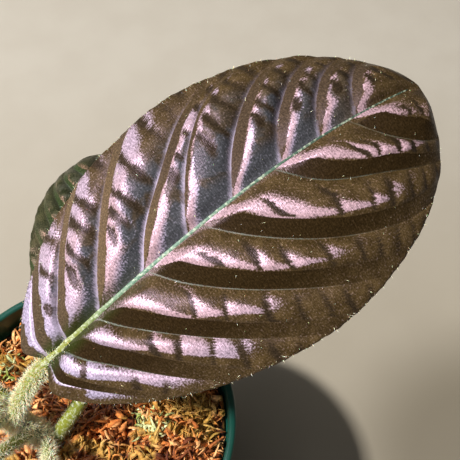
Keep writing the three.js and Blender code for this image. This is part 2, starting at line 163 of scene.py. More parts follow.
# %% Camera
LOOK_DOWN = 60  # degrees below level
camera_data = bpy.data.cameras.new("camera")
camera_data.sensor_width = 36
camera_data.lens = 62.6
camera_data.clip_start = 10 * MM
camera = bpy.data.objects.new("camera", camera_data)
camera.location = (0.0427, -0.06855, 0.3051)
camera.rotation_euler = (math.radians(90 - LOOK_DOWN), 0, 0)
scene.collection.objects.link(camera)
scene.camera = camera
print("camera at", tuple(camera.location), "looks down", LOOK_DOWN, "degrees")

# %% [markdown]
# A plain beige table and soft light from the left. In the photograph the pot throws a firm shadow on the
# table while the leaf high above it throws hardly any, so the table has a lamp of its own, and the lesson's
# last step says what stands in the way of each lamp. The leaf's faint shadow is laid into the table's
# colour as a soft round patch of painted shadow, and the table is painted darker towards the front, a
# painted falloff of the light. The gloss lamp is what the leaf mirrors: it has to be about 25 degrees wide
# as the leaf sees it, or the pink patches on the crests come out too narrow.

# %% Table and lamps
scene.view_settings.view_transform = "Standard"
LAMP_TARGET = (0.03, 0.02, 0.11)
WARM = "#fff8f0"


def soft_lamp(name, azimuth, elevation, distance, size, power, colour=WARM):
    """A square lamp that looks at the plant: degrees, degrees, metres, metres across, watts."""
    data = bpy.data.lights.new(name, "AREA")
    data.shape = "SQUARE"
    data.size = size
    data.energy = power
    data.color = linear(colour)[:3]
    lamp = bpy.data.objects.new(name, data)
    turn, climb = math.radians(azimuth), math.radians(elevation)
    way = Vector((math.cos(turn) * math.cos(climb), math.sin(turn) * math.cos(climb), math.sin(climb)))
    lamp.location = Vector(LAMP_TARGET) + way * distance
    lamp.rotation_euler = (-way).to_track_quat("-Z", "Y").to_euler()
    scene.collection.objects.link(lamp)
    return lamp


broad_lamp = soft_lamp("broad_lamp", 190, 57, 0.9, 1.1, 5)
plant_lamp = soft_lamp("plant_lamp", 199, 51, 0.9, 0.1, 17)
table_lamp = soft_lamp("table_lamp", 184, 56, 1.6, 0.1, 54)
for lamp in (broad_lamp, plant_lamp, table_lamp):
    lamp.visible_glossy = False
soft_lamp("gloss_lamp", 188, 51, 0.85, 0.36, 12.5, "#f8f2ff").visible_diffuse = False

world = bpy.data.worlds.new("dim_room")
world.use_nodes = True
wire(world.node_tree, world.node_tree.nodes["Background"], {"Color": "#d4cfca", "Strength": 0.17})
scene.world = world

table_finish, tree, shader, place = new_finish("painted_table")
speckle = add(tree, "ShaderNodeTexNoise", {"Vector": place, "Scale": 0.04 / MM, "Detail": 6.0})
speckle = add(tree, "ShaderNodeMapRange", speckle, 0.3, 0.7, 0.0, 0.15)
inwards = add(tree, "ShaderNodeSeparateXYZ", place).outputs["Y"]
# painted shade: the table is darker towards the front, a painted falloff of the light
paint_and_shade = add(tree, "ShaderNodeMix", add(tree, "ShaderNodeMapRange", inwards, 0.06, 0.22), "#908b7f", "#9d9a92")
paint_and_shade = add(tree, "ShaderNodeMix", speckle, paint_and_shade, "#827c70")
LEAF_SHADE = (0.14, 0.005, 0.0)  # the middle of the leaf's own faint shadow
away = add(tree, "ShaderNodeVectorMath", place, LEAF_SHADE, operation="DISTANCE").outputs["Value"]
paint_and_shade = add(tree, "ShaderNodeMix", add(tree, "ShaderNodeMapRange", away, 68 * MM, 26 * MM), paint_and_shade, "#6c675b")
wire(tree, shader, {"Base Color": paint_and_shade, "Roughness": 0.6})
bpy.ops.mesh.primitive_plane_add(size=8)
table = bpy.context.object
table.name = "table"
table.data.materials.append(table_finish)

# %% [markdown]
# A blade is described the way a botanist draws it: the midrib's course, the width of each half, and where
# each side vein crosses the half. It could be sculpted instead, but then every leaf would be new work.
# Everything else follows from these: the quilting is a row of arches between neighbouring veins, and each
# arch is cut by cross veins that run square to the midrib. Angles are degrees and lengths are millimetres,
# and the last numbers of each leaf say how high its quilting is and how fine its mesh.

# %% The leaves, as measured
UPPER = dict(width=0.279, widest=0.495, base=2.27, tip=1.83, round=0.69, sweep=0.83)
LOWER = dict(width=0.337, widest=0.547, base=1.79, tip=1.7, round=0.42, sweep=1.22)
PLAIN = dict(width=0.3, widest=0.52, base=2, tip=1.9, round=0.62, sweep=1)
NARROW = dict(PLAIN, width=0.245)
SLIM = dict(PLAIN, width=0.2)
STATIONS = np.array([0, 0.25, 0.5, 0.75, 1])  # shares of the half width where a vein's place is given
BIG_LENGTH = 122.7  # mm, the photographed leaf's midrib
FULL_QUILT = 2.9  # mm, how high its quilting stands

# The photographed leaf: how far along the blade each side vein is at the five stations.
BIG_LEFT_VEINS = [
    [0.012, 0.022, 0.046, 0.067, 0.10],
    [0.066, 0.088, 0.130, 0.180, 0.250],
    [0.160, 0.208, 0.265, 0.330, 0.405],
    [0.285, 0.347, 0.440, 0.530, 0.640],
    [0.405, 0.455, 0.515, 0.590, 0.690],
    [0.520, 0.568, 0.630, 0.700, 0.775],
    [0.643, 0.676, 0.728, 0.785, 0.850],
    [0.739, 0.765, 0.803, 0.848, 0.895],
    [0.830, 0.848, 0.872, 0.900, 0.935],
]
BIG_RIGHT_VEINS = [
    [0.004, 0.012, 0.032, 0.072, 0.150],
    [0.035, 0.080, 0.128, 0.190, 0.280],
    [0.143, 0.195, 0.265, 0.365, 0.510],
    [0.292, 0.347, 0.435, 0.560, 0.700],
    [0.436, 0.507, 0.605, 0.735, 0.880],
    [0.622, 0.690, 0.812, 0.900, 0.950],
    [0.808, 0.852, 0.905, 0.950, 0.980],
]
# Where the cross veins cut each panel between two side veins, as shares of the blade's length.
BIG_LEFT_GROOVES = [
    [0.05],
    [0.10, 0.148, 0.205],
    [0.18, 0.212, 0.262, 0.302, 0.387],
    [0.288, 0.325, 0.362, 0.422, 0.503],
    [0.466, 0.50, 0.54, 0.60],
    [0.552, 0.59, 0.64],
    [0.612, 0.654, 0.688, 0.727],
    [0.741, 0.78, 0.81],
    [0.83, 0.87],
    [0.865, 0.90, 0.94],
]
BIG_RIGHT_GROOVES = [
    [0.06],
    [0.082, 0.17, 0.22],
    [0.223, 0.267, 0.329, 0.387, 0.45],
    [0.324, 0.387, 0.472, 0.53],
    [0.415, 0.483, 0.54, 0.618, 0.689],
    [0.585, 0.674, 0.749, 0.80, 0.864],
    [0.70, 0.775, 0.80, 0.85],
    [0.88, 0.92, 0.95],
]
LEAVES = {
    "leaf_1": dict(
        base=(-4.5, 4.6, 110.7), heading=33.4, rise=30, fall=42, roll=-12, length=BIG_LENGTH,
        left=UPPER, right=LOWER, left_veins=BIG_LEFT_VEINS, right_veins=BIG_RIGHT_VEINS,
        left_grooves=BIG_LEFT_GROOVES, right_grooves=BIG_RIGHT_GROOVES,
        left_walls={5: 0.35}, right_walls={0: 0.3, 1: 0.5},
        left_tiles={0: 0.2, 1: 0.5}, right_tiles={0: 0.15, 1: 0.6},
        stalk_from=0.76, stalk_radius=2.0, leave=(0.3, 0.2, 0.93), quilt=FULL_QUILT, rows=340, columns=62,
    ),
    "leaf_2": dict(
        base=(3.3, 7.6, 92.7), heading=92, rise=22, fall=56, roll=4, length=75, left=NARROW, right=PLAIN,
        left_veins=[0.05, 0.13, 0.25, 0.39, 0.53, 0.68, 0.81],
        right_veins=[0.04, 0.18, 0.32, 0.46, 0.6, 0.75],
        stalk_from=0.12, stalk_radius=2.0, leave=(0.45, 0.35, 0.82), quilt=1.7, rows=170, columns=32,
    ),
    "leaf_3": dict(
        base=(-37, 7, 101), heading=163, rise=26, fall=58, roll=8, length=82, left=PLAIN, right=PLAIN,
        left_veins=[0.04, 0.14, 0.27, 0.4, 0.55, 0.7, 0.82],
        right_veins=[0.06, 0.2, 0.34, 0.48, 0.63, 0.77],
        stalk_from=0.6, stalk_radius=1.5, leave=(-0.3, 0.85, 0.42), quilt=1.9, rows=180, columns=34,
    ),
    "leaf_4": dict(
        base=(-24, -20.5, 95), heading=229, rise=20, fall=54, roll=-6, length=96, left=PLAIN, right=PLAIN,
        left_veins=[0.04, 0.12, 0.24, 0.37, 0.5, 0.64, 0.78],
        right_veins=[0.05, 0.17, 0.3, 0.43, 0.57, 0.71, 0.83],
        stalk_from=0.46, stalk_radius=1.6, leave=(-0.45, -0.5, 0.74), quilt=2, rows=200, columns=38,
    ),
    "leaf_5": dict(
        base=(-1.5, -24.5, 97), heading=297, rise=25, fall=58, roll=7, length=88, left=PLAIN, right=PLAIN,
        left_veins=[0.05, 0.15, 0.28, 0.42, 0.56, 0.7, 0.83],
        right_veins=[0.04, 0.13, 0.25, 0.38, 0.52, 0.66, 0.79],
        stalk_from=0.28, stalk_radius=1.55, leave=(0.3, -0.62, 0.72), quilt=1.9, rows=190, columns=36,
    ),
    "young_leaf": dict(
        base=(-26, -8.5, 99), heading=205, rise=62, fall=44, roll=-10, length=31, left=SLIM, right=SLIM,
        left_veins=[0.08, 0.25, 0.45, 0.66], right_veins=[0.15, 0.35, 0.55, 0.76],
        stalk_from=0.9, stalk_radius=1, leave=(-0.15, -0.8, 0.55), quilt=0.7, rows=80, columns=16, fold=34,
    ),
}


# %% [markdown]
# The width of each half, a side vein's run and the midrib's course are short rules. The blade's own
# directions at a place along the midrib give the frame in which width and height are laid out.

# %% Rules of a blade
def smooth_step(low, high, value):
    """0 up to low, 1 from high on, and eased between; it falls where low is the higher."""
    x = np.clip((value - low) / (high - low), 0, 1)
    return x * x * (3 - 2 * x)


def half_width(half, t):
    """Half the blade's width at a share t of its length, in shares of the length."""
    t = np.clip(t, 0, 1)
    before = np.clip((half["widest"] - t) / half["widest"], 0, 1) ** half["base"]
    past = np.clip((t - half["widest"]) / (1 - half["widest"]), 0, 1) ** half["tip"]
    filled = np.where(t < half["widest"], np.sqrt(1 - before), np.clip(1 - past, 0, 1) ** half["round"])
    return half["width"] * filled


def through(stations, values, at):
    """A smooth curve through values at the stations (first axis), read at other places."""
    x, y, at = np.asarray(stations, float), np.asarray(values, float), np.asarray(at, float)
    slopes = np.gradient(y, x, axis=0)
    i = np.clip(np.searchsorted(x, at, side="right") - 1, 0, len(x) - 2)
    span = x[i + 1] - x[i]
    s = (at - x[i]) / span
    if y.ndim > 1:
        s, span = s[:, None], span[:, None]
    h = 2 * s**3 - 3 * s**2 + 1, s**3 - 2 * s**2 + s, 3 * s**2 - 2 * s**3, s**3 - s**2
    return h[0] * y[i] + h[1] * span * slopes[i] + h[2] * y[i + 1] + h[3] * span * slopes[i + 1]


def vein_table(half, veins):
    """Every side vein's place at the five stations, by the rule of its half where it isn't measured."""
    if isinstance(veins[0], list):
        return np.array(veins)
    start = np.array(veins)[:, None]
    forward = half["sweep"] * start**0.51 * (1 - start) ** 1.15
    return start + forward * STATIONS ** (1.23 + 0.95 * np.exp(-start / 0.15))


def midrib_frame(leaf, distance):
    """Place, upward direction and leftward direction of the blade at distances along its midrib."""
    rise, fall, roll, heading = (math.radians(leaf[k]) for k in ("rise", "fall", "roll", "heading"))
    steps = 400
    middle = (np.arange(steps) + 0.5) / steps
    slope = rise - fall * middle**2
    shares = np.arange(steps + 1) / steps
    run = np.concatenate([[0], np.cumsum(np.cos(slope))]) * leaf["length"] / steps
    climb = np.concatenate([[0], np.cumsum(np.sin(slope))]) * leaf["length"] / steps
    forward = np.array([math.cos(heading), math.sin(heading), 0])
    sideways = np.array([-forward[1], forward[0], 0])
    up = np.array([0, 0, 1.0])
    t = np.clip(distance / leaf["length"], 0, 1)
    angle = rise - fall * t * t
    before = np.minimum(distance, 0)
    x = np.interp(t, shares, run) + before * np.cos(angle)
    z = np.interp(t, shares, climb) + before * np.sin(angle)
    place = np.array(leaf["base"]) + x[..., None] * forward + z[..., None] * up
    level = -np.sin(angle)[..., None] * forward + np.cos(angle)[..., None] * up
    normal = level * math.cos(roll) + sideways * math.sin(roll)
    left = sideways * math.cos(roll) - level * math.sin(roll)
    return place, normal, left


# %% [markdown]
# The quilting. Between two side veins the blade swells up like a quilt: a steep wall climbs from the basal
# vein, a gentle shoulder leads over the crest, and the slow side sinks to the next vein. Cross veins part
# the slow side into blocks, each of which lies on the next like a roof tile. They bend into line with the
# side veins near the midrib, so that the blocks run together there. A painted height map could carry all
# this, but rules keep every furrow on its vein. The finish needs to know these parts too: the film shows
# on the shoulder, while the walls and the drops between tiles are bare.

# %% Quilting
# Each rule has its value for the left half, 1, and the right half, -1.
WALL_REACH = {1: (0.036, 0.0), -1: (0.05, 0.02)}  # steep side in blade lengths: inside, and its growth
WALL_START = {1: 0.24, -1: 0.13}  # share of the half width by which the wall has its full reach
SHOULDER = {1: 0.036, -1: 0.016}  # how far the gentle shoulder reaches past the wall, in blade lengths
WALL_SHARE = 0.78  # share of the height that the wall climbs
SLOW_EASE = {1: 2.0, -1: 2.7}  # how the slow side gathers speed
FURROW_ROUND = 0.13  # mm, how round the bottom over a vein is
TILE_HEIGHT = {1: 0.95, -1: 0.8}  # mm, height of a tile's edge
DROP_REACH = {1: 0.027, -1: 0.018}  # how long the drop from one tile to the next is, in blade lengths
FINGER_REACH = {1: 1.5, -1: 1.1}  # how much further the film reaches where a tile begins
TILES_FROM = {1: (0.2, 0.42), -1: (0.02, 0.3)}  # shares of the half width over which the tiles set in
FINGER_SLANT = {1: 0.06, -1: 0.1}  # how far a cross vein falls back towards the base by the margin
FULL_TILE = {1: 0.036, -1: 0.05}  # a shorter tile is lower too, in blade lengths
WOBBLE = {1: 0.003, -1: 0.005}  # how far a cross vein strays, in blade lengths
TILE_SPACING = 5.2  # mm between cross veins where none is measured


def of_side(leaf, side, what, usual=None):
    """What a leaf's data say of one of its halves."""
    return leaf.get(("left" if side > 0 else "right") + what, usual)


def cross_veins(leaf, side, panel, table):
    """Where the cross veins cut this panel: measured, or 5 mm apart with some chance."""
    given = of_side(leaf, side, "_grooves")
    if given:
        return np.array(given[panel])
    draw = np.random.default_rng(int(leaf["heading"]) * 100 + panel * 2 + (side > 0))
    start, end = table[panel][1], table[panel + 1][4]
    count = max(1, round((end - start) * leaf["length"] / TILE_SPACING))
    even = start + (end - start) * (np.arange(count) + 0.5) / count
    return even + draw.uniform(-0.25, 0.25, count) * (end - start) / count


def panel_arch(side, t, q, phase, gap, strength):
    """The quilt between two veins: its height share, the wall's share and the share past the crest."""
    inside, growth = WALL_REACH[side]
    full = smooth_step(-0.03, WALL_START[side], q)
    strength = strength * (1 - 0.4 * smooth_step(0.55, 0.85, t) * (side > 0))
    wall = np.clip((inside + growth * q) * full * strength, 0.002, 0.5 * gap) / gap
    crest = wall + np.minimum(SHOULDER[side] / gap, 0.3)
    up = np.clip(phase / wall, 0, 1)
    over = np.clip((phase - wall) / (crest - wall), 0, 1)
    down = np.clip((phase - crest) / (1 - crest), 0, 1)
    climbed = WALL_SHARE * full
    rising = climbed * up + (1 - WALL_SHARE) * (1 - (1 - over) ** 2)
    sinking = (climbed + 1 - WALL_SHARE) * (1 - down ** SLOW_EASE[side])
    return np.where(phase < crest, rising, sinking), wall, down


def tiles(leaf, side, panel, table, t, q):
    """The tile profile, where a tile drops off to the next, and how far the film reaches on it."""
    across = t + FINGER_SLANT[side] * (q - 0.5) + 0.6 * np.maximum(0.42 - q, 0) ** 2
    across = across + WOBBLE[side] * np.sin(11 * q + 2.3 * panel) + 0.003 * np.sin(60 * t + 23 * q + panel)
    grooves = cross_veins(leaf, side, panel, table)
    before, after = grooves[0] - 0.14 * np.arange(4, 0, -1), grooves[-1] + 0.05 * np.arange(1, 6)
    cuts = np.concatenate([before, grooves, after])
    draw = np.random.default_rng(panel * 7 + (side > 0))
    heights = draw.uniform(0.6, 1.3, len(cuts))
    drops = DROP_REACH[side] * draw.uniform(0.7, 1.3, len(cuts))
    i = np.clip(np.searchsorted(cuts, across) - 1, 0, len(cuts) - 2)
    span = cuts[i + 1] - cuts[i]
    f = np.clip((across - cuts[i]) / span, 0, 1)
    drop = smooth_step(1, 0.35, (1 - f) * span / np.minimum(drops[i], 0.55 * span))
    finger = (0.3 + FINGER_REACH[side] * (1 - f) ** 1.4) * draw.uniform(0.7, 1.25, len(cuts))[i]
    height = heights[i] * np.minimum(1, span / FULL_TILE[side])
    return np.sin(math.pi * f**0.75) * height, drop * (0.75 + 0.25 * height), finger


def film_reach(side, t, q):
    """Where the film starts past the wall, how far it reaches, in blade lengths, and what is left of it."""
    if side > 0:
        start = 0.003 * np.sin(31 * q + 17 * t)
        inner = 0.026 + 0.036 * smooth_step(0.5, 0.3, t)
        outer = 0.03 + 0.045 * smooth_step(0.6, 0.5, t)
        outside = smooth_step(0.5, 0.7, q)
        waist = 0.012 * smooth_step(0.25, 0.4, q) * (1 - outside)
        reach = inner + (outer - inner) * outside - waist
        last = 0.97 - 0.42 * smooth_step(0.48, 0.66, t)
    else:
        start = 0.035 * smooth_step(0.4, 0.75, q) + 0.005 * np.sin(21 * q - 13 * t)
        reach = 0.056 + 0.06 * smooth_step(0.45, 0.65, q) * smooth_step(0.5, 0.3, t)
        last = 0.84 - 0.22 * smooth_step(0.3, 0.5, t)
    left_over = (1 - smooth_step(-0.06, 0.12, q - last)) * (1 - 0.7 * smooth_step(0.85, 0.95, t))
    at_rib = 1 - (1 - smooth_step(0.05, 0.2, q)) * smooth_step(0.3, 0.12, t)
    return start, reach, left_over * at_rib


def quilting(leaf, side, table, curves, t, q, panel, phase):
    """Height of the quilting over the plain blade in mm, and what the finish must know about each point."""
    half = of_side(leaf, side, "")
    parts = {k: np.zeros_like(t) for k in ("lift", "wall", "film", "slow", "notch")}
    strengths = of_side(leaf, side, "_walls", {})
    for k in range(len(table) - 1):
        here = panel == k
        if not here.any():
            continue
        gap = np.maximum((curves[k + 1] - curves[k])[None] + 0 * t, 1e-3)[here]
        wide = (np.interp(0.4, STATIONS, table[k + 1]) - np.interp(0.4, STATIONS, table[k])) * leaf["length"]
        strength = strengths.get(k, 1)
        low = (1 - strength) * (1 - phase[here]) + (1 - strengths.get(k + 1, 1)) * phase[here]
        arch, wall, down = panel_arch(side, t[here], q[here], phase[here], gap, strength)
        past = (phase[here] - wall) * gap
        onset = smooth_step(*TILES_FROM[side], q[here]) * of_side(leaf, side, "_tiles", {}).get(k, 1)
        where = smooth_step(-0.004, 0.012, past) * (1 - 0.75 * down**1.2) * onset
        tile, drop, finger = tiles(leaf, side, k, table, t[here], q[here])
        swell = leaf["quilt"] * (min(1, 0.3 + wide / 18) * arch * (1 - low) + 0.8 * low)
        raised = swell + TILE_HEIGHT[side] * leaf["quilt"] / FULL_QUILT * (tile - 0.45) * where
        raised *= np.minimum(1, gap / 0.1)
        start, reach, left_over = film_reach(side, t[here], q[here])
        reach = reach * (1 + (finger - 1) * onset)
        notch = smooth_step(0.15, 0.6, drop * where)
        block_edge = smooth_step(1.2, 1.5, finger) * smooth_step(0.022, 0.01, past)
        block_edge = block_edge * smooth_step(0.95, 0.8, q[here])
        left_over = np.maximum(left_over, block_edge * smooth_step(0.9, 0.75, t[here]))
        shown = smooth_step(-0.003, 0.006, past - start) * left_over
        parts["lift"][here] = np.sqrt(np.maximum(raised, 0) ** 2 + FURROW_ROUND**2) - FURROW_ROUND
        parts["wall"][here] = (1 - smooth_step(-0.004, 0.004, past)) * min(1, strength + 0.2)
        parts["film"][here] = shown * (1 - smooth_step(0.4, 1.3, (past - start) / reach)) * (1 - notch)
        parts["slow"][here] = smooth_step(0.3, 1.0, past / reach) * (1 - 0.85 * notch)
        parts["notch"][here] = notch
    fade = smooth_step(0, 0.1, q) * (1 - 0.62 * smooth_step(0.45, 1, q))
    parts["lift"] *= fade * np.sqrt(np.clip(half_width(half, t) / half["width"], 0, 1))
    parts["wall"] *= smooth_step(0.02, 0.1, q)
    return parts


# %% [markdown]
# One blade is a closed sheet: rows fan out along the side veins, so that every furrow falls on a row of
# the mesh, and columns run from the midrib to the margin. An even grid would cut across the furrows and
# need far more faces. Each point keeps marks that its finish will need: how far it is from the nearest vein
# and from the midrib, where it lies along and across the blade, and which part of the quilting it is on.

# %% Blade meshes
MAP_UNIT = 100  # mm to one unit of the blade's own map
MARKS = ("vein_mm", "rib_mm", "along", "across", "left", "wall", "film", "slow", "notch", "before")
NO_VEIN = 9.0  # mm, kept where the nearest edge of a panel is no vein


def vein_rows(leaf, tables):
    """Where the mesh rows leave the midrib: at every side vein, and evenly between them."""
    power = 1 / 2.2
    fixed = {0.0, 1.0}
    for table in tables:
        fixed.update(float(v[0]) for v in table[1:-1])
    fixed = sorted(fixed)
    rows = []
    for low, high in zip(fixed, fixed[1:]):
        count = max(1, round((high**power - low**power) * leaf["rows"]))
        even = np.arange(count) / count
        drawn = even - 0.5 * np.sin(2 * math.pi * even) / (2 * math.pi)
        rows += list((low**power + (high**power - low**power) * drawn) ** (1 / power))
    return np.array(rows + [1.0])


def half_blade(leaf, side, table, rows, q):
    """One half of a blade's upper face: points, directions and what the finish needs, row by row."""
    half = of_side(leaf, side, "")
    length = leaf["length"]
    curves = np.array([through(STATIONS, vein, q) for vein in table])
    starts = table[:, 0]
    panel = np.clip(np.searchsorted(starts, rows, side="right") - 1, 0, len(starts) - 2)
    phase = (rows - starts[panel]) / (starts[panel + 1] - starts[panel])
    t = curves[panel] * (1 - phase[:, None]) + curves[panel + 1] * phase[:, None]
    q_all = np.repeat(q[None], len(rows), 0)
    panel_all = np.repeat(panel[:, None], len(q), 1)
    phase_all = np.repeat(phase[:, None], len(q), 1)
    parts = quilting(leaf, side, table, curves, t, q_all, panel_all, phase_all)
    lift = parts["lift"]
    # the margin is scalloped by a seventh of a millimetre
    scallop = 0.14 * np.sin(t * length * 1.37) * np.sin(t * length * 0.61 + side)
    out = q_all * half_width(half, t) * length
    out = out + scallop * smooth_step(0.93, 1, q_all) * np.sqrt(half_width(half, t) / half["width"])
    # beside the stalk each half reaches back in a lobe, 6 mm long on the big leaf
    lobe = length / BIG_LENGTH
    reach = 6 * lobe * smooth_step(0, 8 * lobe, out) * np.exp(-t / 0.08)
    place, normal, left = midrib_frame(leaf, t * length - reach)
    # the halves rise from the midrib like a shallow valley and droop again towards the margin
    fold = math.radians(leaf.get("fold", 6))
    droop = 1.5 * fold + math.radians(18.5)
    sideways = side * out * (1 - (droop * q_all**1.5) ** 2 / 8)
    height = fold * out - (droop + fold) * out * q_all**1.5 / 2.5 + lift
    points = place + sideways[..., None] * left + height[..., None] * normal
    gap = (curves[panel + 1] - curves[panel]) * length * 0.8
    vein_mm = np.minimum(phase_all, 1 - phase_all) * gap
    edge = np.where(phase_all < 0.5, panel_all, panel_all + 1)
    vein_mm = np.where((edge == 0) | (edge == len(table) - 1), NO_VEIN, vein_mm)
    return dict(
        parts, points=points, normal=normal, vein_mm=vein_mm, rib_mm=out, along=t, across=q_all,
        before=smooth_step(0.4, 0.6, phase_all), left=np.full_like(t, side > 0),
        uv=np.stack([t * length, side * out], -1),
    )


def blade_piece(name, leaf, material, thickness=0.6):
    """A whole blade: two halves in one sheet, with an upper face, an under face and a rim."""
    tables = []
    for side, key in ((1, "left"), (-1, "right")):
        inner = vein_table(leaf[key], leaf[key + "_veins"])
        tables.append(np.vstack([np.zeros(5), inner, np.ones(5)]))
    rows = vein_rows(leaf, tables)
    n = leaf["columns"]
    q = (np.arange(n + 1) / n) ** 1.15
    left = half_blade(leaf, 1, tables[0], rows, q)
    right = half_blade(leaf, -1, tables[1], rows, q)
    joined = {k: np.concatenate([left[k][:, ::-1], right[k][:, 1:]], 1) for k in left}
    count, across = joined["along"].shape
    rim = smooth_step(0.9, 1, joined["across"])
    sheet = joined["normal"] * (thickness * (1 - 0.6 * rim))[..., None]
    points = np.concatenate([face.reshape(-1, 3) for face in (joined["points"], joined["points"] - sheet)])
    size = count * across
    grid = np.arange(size).reshape(count, across)
    a, b, c, d = grid[:-1, :-1], grid[1:, :-1], grid[1:, 1:], grid[:-1, 1:]
    faces = [np.stack([np.stack([d, c, b, a], -1), np.stack([a, b, c, d], -1) + size], 2).reshape(-1, 4)]
    for line, flip in ((grid[:, 0], 1), (grid[:, -1], -1), (grid[0], -1), (grid[-1], 1)):
        faces.append(np.stack([line[:-1], line[1:], line[1:] + size, line[:-1] + size], -1)[:, ::flip])
    faces = np.concatenate(faces).tolist()
    piece = make_piece(name, points, faces, material)
    for key in MARKS:
        give_values(piece, key, np.tile(joined[key].ravel(), 2))
    give_values(piece, "upper", np.repeat([1.0, 0.0], size))
    uv = np.tile(joined["uv"].reshape(-1, 2), (2, 1)) / MAP_UNIT
    layer = piece.data.uv_layers.new(name="blade")
    corner = np.empty(len(piece.data.loops), np.int32)
    piece.data.loops.foreach_get("vertex_index", corner)
    layer.data.foreach_set("uv", uv[corner].astype(np.float32).ravel())
    face_outwards(piece, drop_slivers=True)
    return piece


# %% [markdown]
# Leaf blade, mature: a thick skin over dark red-brown flesh, with a film that mirrors pink. The finish
# could be painted on the blade's own map, but here it follows the marks that every point carries, so it
# fits any leaf. Noises fray the marks. Fine hairs square to the midrib break the mirror up into short
# strokes: they are under 0.1 mm wide, so they are drawn 0.3 mm wide and 1.3 mm long. Grains are 0.5 mm wide
# and make the film's edge look torn, and clouds of 4 and 7 mm keep the colour from being even.

# %% A blade's marks and noises
def leaf_marks(tree):
    """The marks that a blade carries, and the noises that fray them, by name."""
    uv = add(tree, "ShaderNodeUVMap", uv_map="blade")
    along_hairs = (3.3 * MAP_UNIT, 0.75 * MAP_UNIT, 1)
    turned = add(tree, "ShaderNodeMapping", {"Vector": uv, "Rotation": (0, 0, 0.2), "Scale": along_hairs})
    noises = {
        "strokes": {"Vector": turned, "Scale": 1.0, "Detail": 3.0},
        "grains": {"Vector": uv, "Scale": 2.1 * MAP_UNIT, "Detail": 3.0},
        "cloud": {"Vector": uv, "Scale": 0.26 * MAP_UNIT, "Detail": 4.0},
        "drift": {"Vector": uv, "Scale": 0.14 * MAP_UNIT, "Detail": 3.0, "Distortion": 0.6},
    }
    marks = {name: add(tree, "ShaderNodeTexNoise", sizes) for name, sizes in noises.items()}
    for name in (*MARKS, "upper"):
        marks[name] = add(tree, "ShaderNodeAttribute", attribute_name=name).outputs["Fac"]
    return SimpleNamespace(**marks)


# %% [markdown]
# Flesh, film and bare parts. The dark flesh gives the olive-brown ground. The slow side of every arch on
# the left half is painted slate blue: a painted reflection of the room's light in its hairs. Over both
# lies the film; its pink by the wall, and its lilac further on and towards the leaf's base, are a painted
# sheen in the base colour. The drop between two tiles and the steep walls are bare, and painted light and
# shade: the drops dark, the walls brown on the left half and very dark on the right. Each could be a
# material of its own, but one that mixes them by the points' marks lets them run into each other as they
# do on the leaf.

# %% Flesh and film
def flesh_and_film(tree, on, hue):
    """The blade's colour, with its painted sheen, reflection, light and shade; how much film shows and how
    bare it is.
    """
    frayed = add(tree, "ShaderNodeMapRange", on.strokes, 0.3, 0.7, -0.1, 0.1)
    grained = add(tree, "ShaderNodeMapRange", on.grains, 0.3, 0.7, -0.26, 0.26)
    grained = add(tree, "ShaderNodeMath", frayed, grained, operation="ADD")
    patch = add(tree, "ShaderNodeMapRange", on.cloud, 0.35, 0.65)
    flesh = add(tree, "ShaderNodeMix", patch, hue["ground"], hue["deep"])
    near_rib = add(tree, "ShaderNodeMapRange", on.rib_mm, 9.0, 4.0)
    patchy = add(tree, "ShaderNodeMapRange", on.drift, 0.4, 0.58, 0.25, 1.0)
    patchy = add(tree, "ShaderNodeMath", patchy, near_rib, operation="MAXIMUM")
    inside = add(tree, "ShaderNodeMapRange", on.across, 0.8, 0.5)
    before_tip = add(tree, "ShaderNodeMapRange", on.along, 0.92, 0.7)
    # painted reflection: the slow side of the left half's arches turns slate blue
    slate = on.slow
    for share in (on.left, inside, before_tip, patchy):
        slate = add(tree, "ShaderNodeMath", slate, share)
    flesh = add(tree, "ShaderNodeMix", slate, flesh, hue["slate"])
    # painted sheen: the film's pink and lilac are laid into the base colour
    bloom = add(tree, "ShaderNodeMath", on.film, grained, operation="ADD")
    bloom = add(tree, "ShaderNodeMapRange", bloom, 0.1, 0.95)
    basal = add(tree, "ShaderNodeMapRange", on.along, 0.25, 0.05)
    cool = slate
    for share in (basal, add(tree, "ShaderNodeMapRange", on.across, 0.45, 0.85, 0.0, 0.55)):
        cool = add(tree, "ShaderNodeMath", cool, share, operation="MAXIMUM")
    painted_sheen = add(tree, "ShaderNodeMix", cool, hue["film"], hue["lilac"])
    flesh = add(tree, "ShaderNodeMix", bloom, flesh, painted_sheen)
    # painted shade: the drops between tiles are dark
    flesh = add(tree, "ShaderNodeMix", on.notch, flesh, hue["notch"])
    # painted light and shade on the bare walls: lighter brown on the left half, very dark on the right
    bare = add(tree, "ShaderNodeMath", on.wall, frayed, operation="ADD")
    bare = add(tree, "ShaderNodeMapRange", bare, 0.35, 0.65)
    low_left = add(tree, "ShaderNodeMath", on.left, add(tree, "ShaderNodeMapRange", on.along, 0.6, 0.45))
    still_dark = add(tree, "ShaderNodeMapRange", on.across, 0.95, 0.55, 0.2, 1.0)
    still_dark = add(tree, "ShaderNodeMath", low_left, still_dark, operation="MAXIMUM")
    bare = add(tree, "ShaderNodeMath", bare, still_dark)
    halfway = add(tree, "ShaderNodeMapRange", on.along, 0.3, 0.5)
    left_wall = add(tree, "ShaderNodeMix", halfway, hue["left_wall"], hue["far_wall"])
    left_wall = add(tree, "ShaderNodeMix", basal, left_wall, hue["basal_wall"])
    wall_light_and_shade = add(tree, "ShaderNodeMix", on.left, hue["right_wall"], left_wall)
    return add(tree, "ShaderNodeMix", bare, flesh, wall_light_and_shade), bloom, bare
